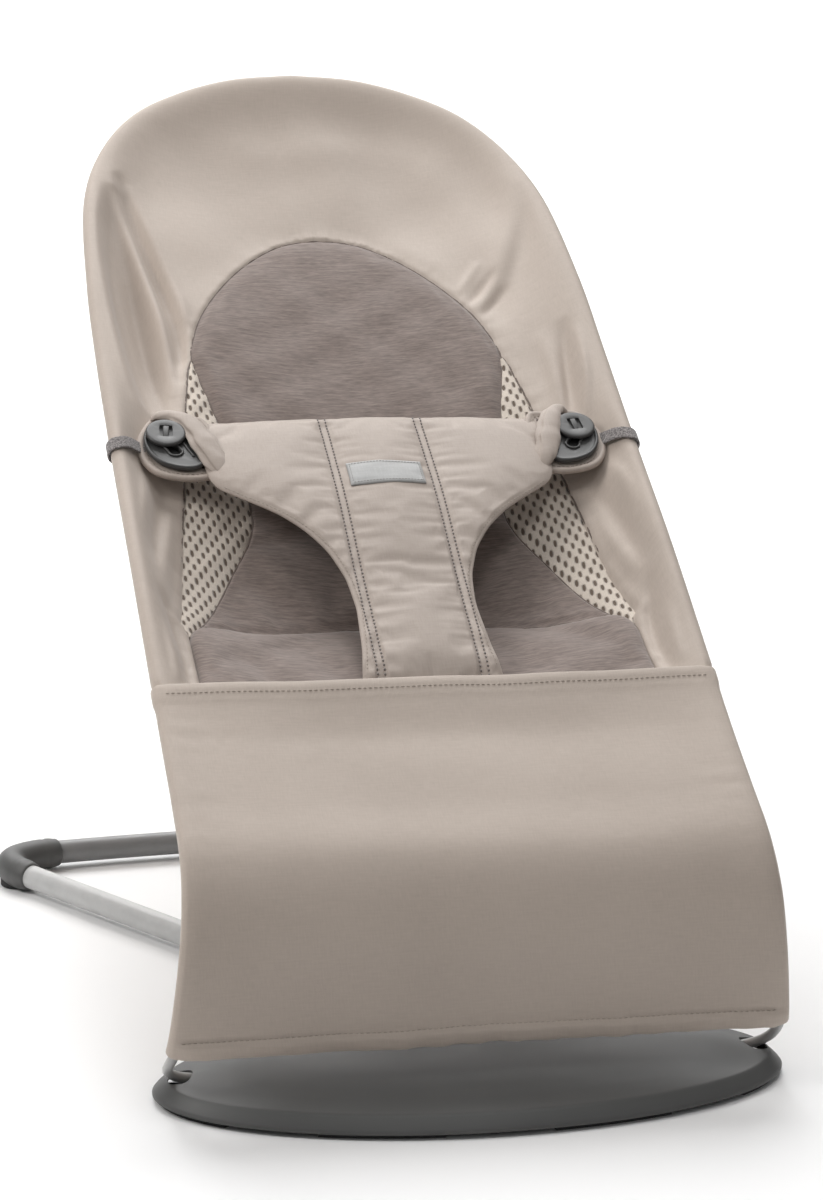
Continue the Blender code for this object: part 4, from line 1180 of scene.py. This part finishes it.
def fold_roll(side, word):
    """The wing's end turned over itself in a soft roll, past the plate's inner edge."""
    axes = strap_axes(side, *BUTTON, VISIBLE_LIFT)
    way = smooth([(side * u, v, lift, half) for u, v, lift, half in WING_FOLD[side]], 12) / 1000
    way = even(way, 84)
    centre = way[:, :3]
    along = unit(np.gradient(centre, axis=0))
    across = unit(np.cross([0.0, 0.0, 1.0], along))
    above = np.cross(along, across)
    angle = np.linspace(0, 2 * np.pi, 36, endpoint=False)
    share = np.linspace(0, 1, len(way))
    close = np.sqrt(np.clip(np.minimum(share / 0.06, (1 - share) / 0.24), 0.01, 1))
    wrinkle = 1 + 0.05 * wander(share[:, None] * 0.1 + 0 * angle, 71, 0.017)
    wrinkle = wrinkle + 0.05 * wander(angle[None] * 0.01 + share[:, None] * 0.06, 72, 0.016)
    wide = (way[:, 3] * close)[:, None] * wrinkle
    tall = (np.minimum(way[:, 3] * 0.50, 0.0036) * close)[:, None] * wrinkle
    pinch = 1 - 0.30 * bell(angle[None], 2.55, 0.28) * ramp(share, 0.1, 0.3)[:, None]
    ring = np.cos(angle)[None, :, None] * across[:, None] * (wide * pinch)[..., None]
    ring = ring + np.sin(angle)[None, :, None] * above[:, None] * (tall * pinch)[..., None]
    points = (centre[:, None] + ring).reshape(-1, 3)
    obj = mesh_object(f"wing_fold_{word}", points, tube_faces(len(way), len(angle)), shift=False)
    obj.data.transform(axes)
    cleaned(obj)
    seat_uv(obj)
    return place(obj, "harness", "harness_woven", "restraint")


def arc(centre, radius, first, last, count):
    """Points round a centre between two angles, in degrees."""
    turn = np.radians(np.linspace(first, last, count))
    return np.stack([centre[0] + radius * np.cos(turn), centre[1] + radius * np.sin(turn)], 1)


def keyhole_plate(side, word):
    """The moulded plate: a raised rim, a rimmed groove for the button's stem with a round release end, and a rib, over
    a black sheet that is painted shade down the groove.
    """
    axes = strap_axes(side, *BUTTON, VISIBLE_LIFT)

    def bead(name, line, radius):
        line = [tuple(axes @ Vector(p) - Vector(SHIFT)) for p in line]
        place(sweep(f"{name}_{word}", line, radius, 10), "harness", "keyhole_plastic", "button")

    outline = closed_line(turned_to(side, KEYHOLE_OUTLINE), 110)
    profile = mm([
        (0.6, -2), (0, -1.4), (0, 0.6), (0.5, 1.4), (1.3, 1.7), (2.2, 1.4), (2.8, 0.6), (5, 0.5),
    ])
    obj = domed_plate(f"keyhole_{word}", outline, profile, axes)
    groove = [(-side * 0.0002, 0.006), (-side * 0.0008, -0.0085), (-side * 0.0050, -0.0165)]
    spots = even(groove, 14)
    half = 0.0029 + 0.0010 * (np.arange(14) > 9)
    step, end = np.stack([half, 0 * half], 1), spots[-1]
    around = np.vstack([spots - step, arc(end, half[-1], 190, 350, 12), (spots + step)[::-1]])
    cut_out(obj, domed_plate("groove", around, [(0, -0.01), (0, 0.01)], axes))
    soften(obj, 0.0003, 2)
    place(obj, "harness", "keyhole_plastic", "button", f"keyhole_plate_{word}")
    spots, step = spots[5:], step[5:] + [RIM_OUT, 0]
    around = np.vstack([spots - step, arc(end, half[-1] + RIM_OUT, 195, 345, 10), (spots + step)[::-1]])
    bead("keyhole_rim", smooth(np.column_stack([around, np.full(len(around), 0.0009)]), 2), 0.00085)
    rib = [(-side * 0.0115, -0.008, 0.0008), (-side * 0.0140, -0.015, 0.0009), (-side * 0.0170, -0.0225, 0.0008)]
    bead("keyhole_rib", smooth(rib, 8), 0.0008)
    # A black sheet under the plate, seen only down the groove: painted shade in the groove, not a real part.
    back = domed_plate(f"keyhole_groove_shade_{word}", outline * 0.93 - [0, 0.0006], [(0, -0.0026), (0, -0.0021)], axes)
    place(back, "harness", "keyhole_plastic", "rubber")


def button(side, word):
    """The round button: a flat disc with an open slot and a sprung tongue in it, on a stem."""
    axes = strap_axes(side, *BUTTON, VISIBLE_LIFT + 0.0020)
    profile = mm([
        (1.2, 0), (0.2, 0.3), (0, 0.7), (0, 1.9), (0.2, 2.4), (0.7, 2.8), (1.5, 3), (4, 2.9), (9, 2.8),
    ])
    obj = domed_plate(f"button_disc_{word}", rounded_outline(0.0138, 0.0138, 1.0, 84), profile, axes)
    tilt = axes @ Matrix.Translation((-side * 0.0002, 0.0008, 0)) @ Matrix.Rotation(side * 0.12, 4, "Z")
    cut_out(obj, domed_plate("slot", rounded_outline(0.0046, 0.0060, 0.22, 48), [(0, 0.0007), (0, 0.01)], tilt))
    soften(obj, 0.00025, 2)
    place(obj, f"button_{word}", "button_plastic", "button", f"button_{word}")
    half = [(-0.0017, -0.0056), (0.0017, -0.0056), (0.0021, 0.0058), (-0.0021, 0.0058)]
    tongue = domed_plate(f"button_tongue_{word}", half, [(0, 0.0005), (0, 0.0024), (0.0004, 0.0027)], tilt)
    for v in tongue.data.vertices:
        local = tilt.inverted() @ v.co
        if local.z > 0.001:
            local.z -= 0.0010 * min(1.0, max(0.0, (-local.y + 0.001) / 0.006))
        v.co = tilt @ local
    soften(tongue, 0.0003, 2)
    place(tongue, f"button_{word}", "button_plastic", "button")
    round_bar = rounded_outline(0.0013, 0.0018, 0.5, 32)
    stem = domed_plate(f"button_stem_{word}", round_bar, [(0.0, -0.0040), (0.0, 0.0004)], axes)
    place(stem, f"button_{word}", "button_plastic", "button")


def strap(side, word):
    """Elastic webbing from under the button, over the cover's rim and round the wire."""
    start_x, start_y = 0.1500, BUTTON[1]
    edge_x = float(hoop_x(STRAP_END_Y))
    wrap = 0.0073
    path = [(start_x, -0.0066), (start_x + 0.0070, -0.0068), (edge_x - 0.0170, -0.0056), (edge_x - 0.0130, -0.0018),
            (edge_x - 0.0085, 0.0030)]
    path += [(edge_x + wrap * math.sin(a), wrap * math.cos(a)) for a in np.radians(np.arange(-38, 190, 14))]
    path = even(smooth(path, 6), 70)
    rows, cloth, run = [], [], 0.0
    across = np.linspace(-0.0058, 0.0058, 9)
    for k, (x, lift) in enumerate(path):
        if k:
            run += float(np.linalg.norm(path[k] - path[k - 1]))
        y = start_y + (STRAP_END_Y - start_y) * min(1.0, (x - start_x) / (edge_x - start_x))
        axes = strap_axes(side, x, y, lift)
        rows.append([tuple(axes @ Vector((0, a, 0))) for a in across])
        cloth.append([(a, run) for a in across])
    rows, cloth = np.array(rows), np.array(cloth)
    obj = grid_object(f"elastic_{word}", rows, cloth, shift=False)
    modifier(obj, "SOLIDIFY", thickness=0.0013, offset=0)
    modifier(obj, "BEVEL", width=0.0004, segments=2, limit_method="ANGLE", angle_limit=math.radians(50))
    bake(obj)
    place(obj, "seat", "elastic", "elastic", f"elastic_strap_{word}")


# ---------------- hardware
PLATE_CENTRE_Y, PLATE_HALF_WIDTH, PLATE_HALF_DEPTH = 0.039, 0.199, 0.085
SIDE_TUBE = [
    (0.050, 0.1295, TUBE_Z), (0.050, 0.145, TUBE_Z), (0.053, 0.162, TUBE_Z), (0.066, 0.190, TUBE_Z),
    (0.090, 0.222, TUBE_Z), (0.1445, 0.298, TUBE_Z), (0.2000, 0.3785, TUBE_Z), (0.2360, 0.4310, TUBE_Z),
]
ELBOW = [
    (0.2365, 0.4318, TUBE_Z), (0.2450, 0.4442, TUBE_Z), (0.2480, 0.4560, TUBE_Z),
    (0.2445, 0.4680, TUBE_Z), (0.2330, 0.4770, TUBE_Z), (0.2128, 0.4838, TUBE_Z),
]
STAY_Y, STAY_Z, STAY_REACH = 0.272, 0.0225, math.hypot(0.272 - 0.046, 0.0120)
STAY_RADIUS = 0.0035


def sided(points, side):
    return [(side * p[0], p[1], p[2]) for p in points]


def both_sides(right):
    """The whole symmetric line from its right half, which starts on X = 0."""
    right = np.array(right, float)
    return np.vstack([(right * [-1, 1, 1])[::-1], right[1:]])


def moved(x, y):
    return Matrix.Translation(Vector((x, y, 0)) + Vector(SHIFT))


def box_outline(left, right, low, high):
    return [(left, low), (right, low), (right, high), (left, high)]


def floor_plate():
    """A low crowned lens-shaped shell with a sloping skirt and a rolled lower lip."""
    count = 200
    angle = np.linspace(0, 2 * np.pi, count, endpoint=False)
    profile = mm([
        (5, 4.2), (3.4, 3.3), (1, 3.1), (0.1, 3.7), (0, 4.8), (1.4, 6.6), (4, 9.2), (6.8, 11.8), (8.1, 12.85),
        (9, 13.25), (10.4, 13.45), (16, 14.3), (24, 16), (36, 18.6), (49, 20.5), (64, 21.4), (76, 21.5),
        (84.5, 21.5),
    ])

    def ring(inset, z):
        x = (PLATE_HALF_WIDTH - inset) * np.cos(angle)
        y = PLATE_CENTRE_Y + (PLATE_HALF_DEPTH - inset) * np.sin(angle)
        return np.stack([x, y, np.full(count, z)], 1)

    wall = 0.0026
    inner = [(inset + wall * 0.9, z - wall * (0.35 if inset < 0.009 else 1.0)) for inset, z in profile[5:-1]]
    rings = [ring(inset, z) for inset, z in inner[::-1] + profile]
    obj = mesh_object("floor_plate", np.vstack(rings), tube_faces(len(rings), count))
    for side, _ in SIDES:
        turned = moved(side * 0.1820, 0.0410) @ Matrix.Rotation(side * 0.35, 4, "Z")
        cut_out(obj, domed_plate("slot", rounded_outline(0.0072, 0.0098, 0.7, 48), [(0, -0.01), (0, 0.05)], turned))
    mouth = box_outline(-0.0785, 0.0785, -0.03, 0.05)
    cut_out(obj, domed_plate("mouth", mouth, [(0, -0.02), (0, 0.0122)], moved(0, 0.116)))
    obj.data.shade_smooth()
    obj.data.set_sharp_from_angle(angle=math.radians(45))
    place(obj, "base", "plate_plastic", "plate", "base_plate")
    for number, x in enumerate((-0.132, -0.075, -0.030, 0.030, 0.075, 0.132)):
        reach = PLATE_HALF_DEPTH * math.sqrt(1 - (abs(x) / PLATE_HALF_WIDTH) ** 2) - 0.016
        low, high = PLATE_CENTRE_Y - reach, min(PLATE_CENTRE_Y + reach, 0.0330 if abs(x) > 0.1 else 0.028)
        strip = box_outline(x - 0.0011, x + 0.0011, low, high)
        rib = domed_plate(f"plate_rib_{number}", strip, [(0, 0.0046), (0, 0.0130)], moved(0, 0))
        place(rib, "base", "plate_plastic", "plate")


def bar(name, line, radius, sides, body, slot, look, cad, **options):
    """A swept bar, placed for its CAD node."""
    place(sweep(name, line, radius, sides, **options), body, slot, look, cad)


def floor_frame():
    """Splayed side tubes, the rear bar and the moulded elbows with the rings that mark their ends."""
    half, y = 0.2112, 0.4842
    xs = np.linspace(-half, half, 60)
    rear = np.stack([xs, y + 0.014 * (1 - (xs / half) ** 2), np.full(60, TUBE_Z)], 1)
    bar("rear_bar", rear, TUBE_RADIUS, 32, "base", "dark_paint", "dark_paint", "rear_crossbar")
    share = np.linspace(0, 1, 48)
    swell = np.ones(48)
    for amount, at, width in ((0.10, 0, 0.05), (0.035, 0.13, 0.012)):
        swell -= amount * bell(share, at, width) + amount * bell(1 - share, at, width)
    for side, word in SIDES:
        line = smooth(sided(SIDE_TUBE, side), 12)
        bar(f"frame_tube_{word}", line, TUBE_RADIUS, 32, "base", "light_paint", "light_paint", f"side_tube_{word}")
        bend = even(smooth(sided(ELBOW, side), 12), 48)
        bar(f"elbow_{word}", bend, SLEEVE_RADIUS, 36, "base", "plate_plastic", "plate", f"corner_sleeve_{word}",
            taper=swell)


def hoop():
    """The sprung hoop, one closed loop of round wire."""
    loop = even(both_sides(HOOP_LINE), 420)[:-1]
    bar("hoop_wire", loop, WIRE_RADIUS, 16, "seat", "wire_paint", "wire_paint", "seat_hoop", closed=True)


def stay():
    """The U-shaped stay that props the seat, with its ridged grip."""
    lean = math.atan2(0.0120, 0.226) + math.radians(68.0)
    up = np.array([0, math.cos(lean), math.sin(lean)])
    foot = np.array([0, STAY_Y, STAY_Z])
    outline = [
        (0.0, STAY_REACH), (0.050, STAY_REACH), (0.069, STAY_REACH), (0.083, STAY_REACH - 0.005),
        (0.0895, STAY_REACH - 0.018), (0.0920, STAY_REACH - 0.060), (0.0935, 0.060), (0.0945, 0.016),
        (0.0965, 0.004), (0.1010, 0.0), (0.1085, 0.0),
    ]
    right = [foot + up * reach + np.array([x, 0, 0]) for x, reach in outline]
    wire = both_sides(smooth(right, 10))
    bar("stay_wire", wire, STAY_RADIUS, 18, "stay", "wire_paint", "wire_paint", "support_stay")
    centre = foot + up * STAY_REACH
    xs = np.linspace(-0.038, 0.038, 90)
    grip = np.stack([xs, np.full(90, centre[1]), np.full(90, centre[2])], 1)
    ridges = 1 - 0.07 * (0.5 + 0.5 * np.cos(xs * 2 * np.pi / 0.0042)) * ramp(0.034 - np.abs(xs), 0, 0.002)
    ridges -= 0.25 * ramp(np.abs(xs), 0.0365, 0.0385)
    bar("grip", grip, 0.0062, 28, "stay", "plate_plastic", "rubber", "stay_grip", taper=ridges)


CAD_LOOKS = {
    "plate": ["tube_socket"],
    "wire_paint": ["cross_wire_lower", "cross_wire_upper"],
    "woven": ["crotch_anchor"],
}
CAD_PAIRS = {
    "plate": ["bush_saddle", "stay_bracket", "recline_rack", "strap_anchor"],
    "rubber": ["plate_pad", "plate_pad_front", "torsion_bush", "pivot_bush", "rear_foot"],
    "steel": ["saddle_screw"],
}
for look, names in CAD_PAIRS.items():
    CAD_LOOKS.setdefault(look, []).extend(f"{name}_{word}" for name in names for _, word in SIDES)


def dress_cad():
    """Better materials, and softened edges, on the CAD nodes that stay."""
    for look, names in CAD_LOOKS.items():
        for name in names:
            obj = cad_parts[name]
            for slot in obj.material_slots:
                slot.material = LOOKS[look]
            if look == "plate":
                modifier(obj, "WELD", merge_threshold=0.00002)
                modifier(obj, "BEVEL", width=0.0006, segments=2, limit_method="ANGLE", angle_limit=math.radians(40))


# ---------------- hems on the cover
def cover_hems(front, edge, outward):
    """Stitch rows along the front panel's top band and bottom hem."""
    run = run_along(edge)
    for name, at in (("band_stitch", run[-1] - BAND_STITCH), ("hem_stitch", HEM_STITCH)):
        (half, y, z), normal = at_run(edge, run, at), at_run(outward, run, at)
        row = [(x, y, z) for x in np.linspace(-half + 0.001, half - 0.001, 160)]
        stitched_on(name, front, row, normal, "seat", "cover_woven", "pale_thread", radius=0.0003, length=0.0026)


# ---------------- stage, camera and light
def camera():
    """The photograph's viewpoint."""
    yaw, pitch, roll = 0.21202, 0.24589, 0.02265
    ahead = Vector((math.sin(yaw) * math.cos(pitch), math.cos(yaw) * math.cos(pitch), -math.sin(pitch)))
    right = Vector((math.cos(yaw), -math.sin(yaw), 0))
    up = right.cross(ahead)
    across = right * math.cos(roll) + up * math.sin(roll)
    above = -right * math.sin(roll) + up * math.cos(roll)
    data = bpy.data.cameras.new("camera")
    data.lens = 96.11
    data.sensor_width = 36.0
    data.clip_end = 50.0
    obj = bpy.data.objects.new("camera", data)
    bpy.context.scene.collection.objects.link(obj)
    turned = Matrix((across, above, -ahead)).transposed().to_4x4()
    obj.matrix_world = Matrix.Translation((-0.43315, -1.76301 - BOX_CENTRE_Y, 0.77232)) @ turned
    bpy.context.scene.camera = obj


def area_light(name, place_at, target, size, power, colour=(1, 1, 1)):
    data = bpy.data.lights.new(name, "AREA")
    data.shape = "DISK"
    data.size = size
    data.energy = power
    data.color = colour
    obj = bpy.data.objects.new(name, data)
    bpy.context.scene.collection.objects.link(obj)
    obj.location = place_at
    obj.rotation_mode = "QUATERNION"
    obj.rotation_quaternion = (Vector(target) - Vector(place_at)).to_track_quat("-Z", "Y")


def studio():
    """A pale sweep and soft studio light: a softbox high on the left, an overhead bank behind, low fill."""
    world = bpy.data.worlds.new("studio")
    bpy.context.scene.world = world
    world.use_nodes = True
    nodes = Nodes(world.node_tree)
    height = nodes.node("SeparateXYZ", {0: nodes.node("TexCoord", {}, "Generated")}, 2)
    strength = nodes.ranged(height, -0.1, 1.0, WORLD_LOW, WORLD_HIGH)
    background = nodes.tree.nodes["Background"].inputs
    background["Color"].default_value = (1, 1, 1, 1)
    nodes.tree.links.new(strength.socket, background["Strength"])
    mesh = bpy.data.meshes.new("floor")
    flat = [(y, 0.0) for y in (-14.0, -8.0, -4.0, 0.0, 2.0, 3.0, 3.3)]
    bend = [(3.4 + 1.6 * math.sin(a), 1.6 - 1.6 * math.cos(a)) for a in np.radians(np.arange(0, 91, 5))]
    sweep_line = flat + bend + [(5.0, 1.8), (5.0, 3.0), (5.0, 6.0)]
    points = [(x, y, z) for y, z in sweep_line for x in (-14.0, 14.0)]
    mesh.from_pydata(points, [], grid_faces(len(sweep_line), 2))
    mesh.shade_smooth()
    floor = bpy.data.objects.new("floor", mesh)
    bpy.context.scene.collection.objects.link(floor)
    look = Look("floor", (0.93, 0.93, 0.93), 0.85)
    look.link("Base Color", look.mix(look.noise(3.0), (0.925, 0.925, 0.925), (0.94, 0.94, 0.94)))
    floor.data.materials.append(look.material)
    area_light("key", (-1.55, -0.25, 1.45), (0, 0.0, 0.3), 0.75, KEY, (1.0, 0.985, 0.970))
    area_light("top", (0.25, -0.75, 2.6), (0, 0.05, 0.3), 0.9, TOP)
    area_light("bank", (0.2, 2.7, 3.3), (0.2, 2.6, 0), 3.8, BANK)
    area_light("fill", (1.3, -2.6, 1.9), (0, 0, 0.3), 1.6, FILL, (0.98, 0.99, 1.0))
    bpy.context.scene.view_settings.view_transform = "Standard"
    bpy.context.scene.view_settings.look = "None"


sewn_cover()
front, front_edge, front_outward = front_panel()
cover_hems(front, front_edge, front_outward)
front_join()
padded_panel()
inset_seams()
pad = restraint()
label(pad)
for side, word in SIDES:
    gusset(side, word)
    tab(side, word)
    fold_roll(side, word)
    keyhole_plate(side, word)
    button(side, word)
    strap(side, word)
floor_plate()
floor_frame()
hoop()
stay()
dress_cad()
camera()
studio()
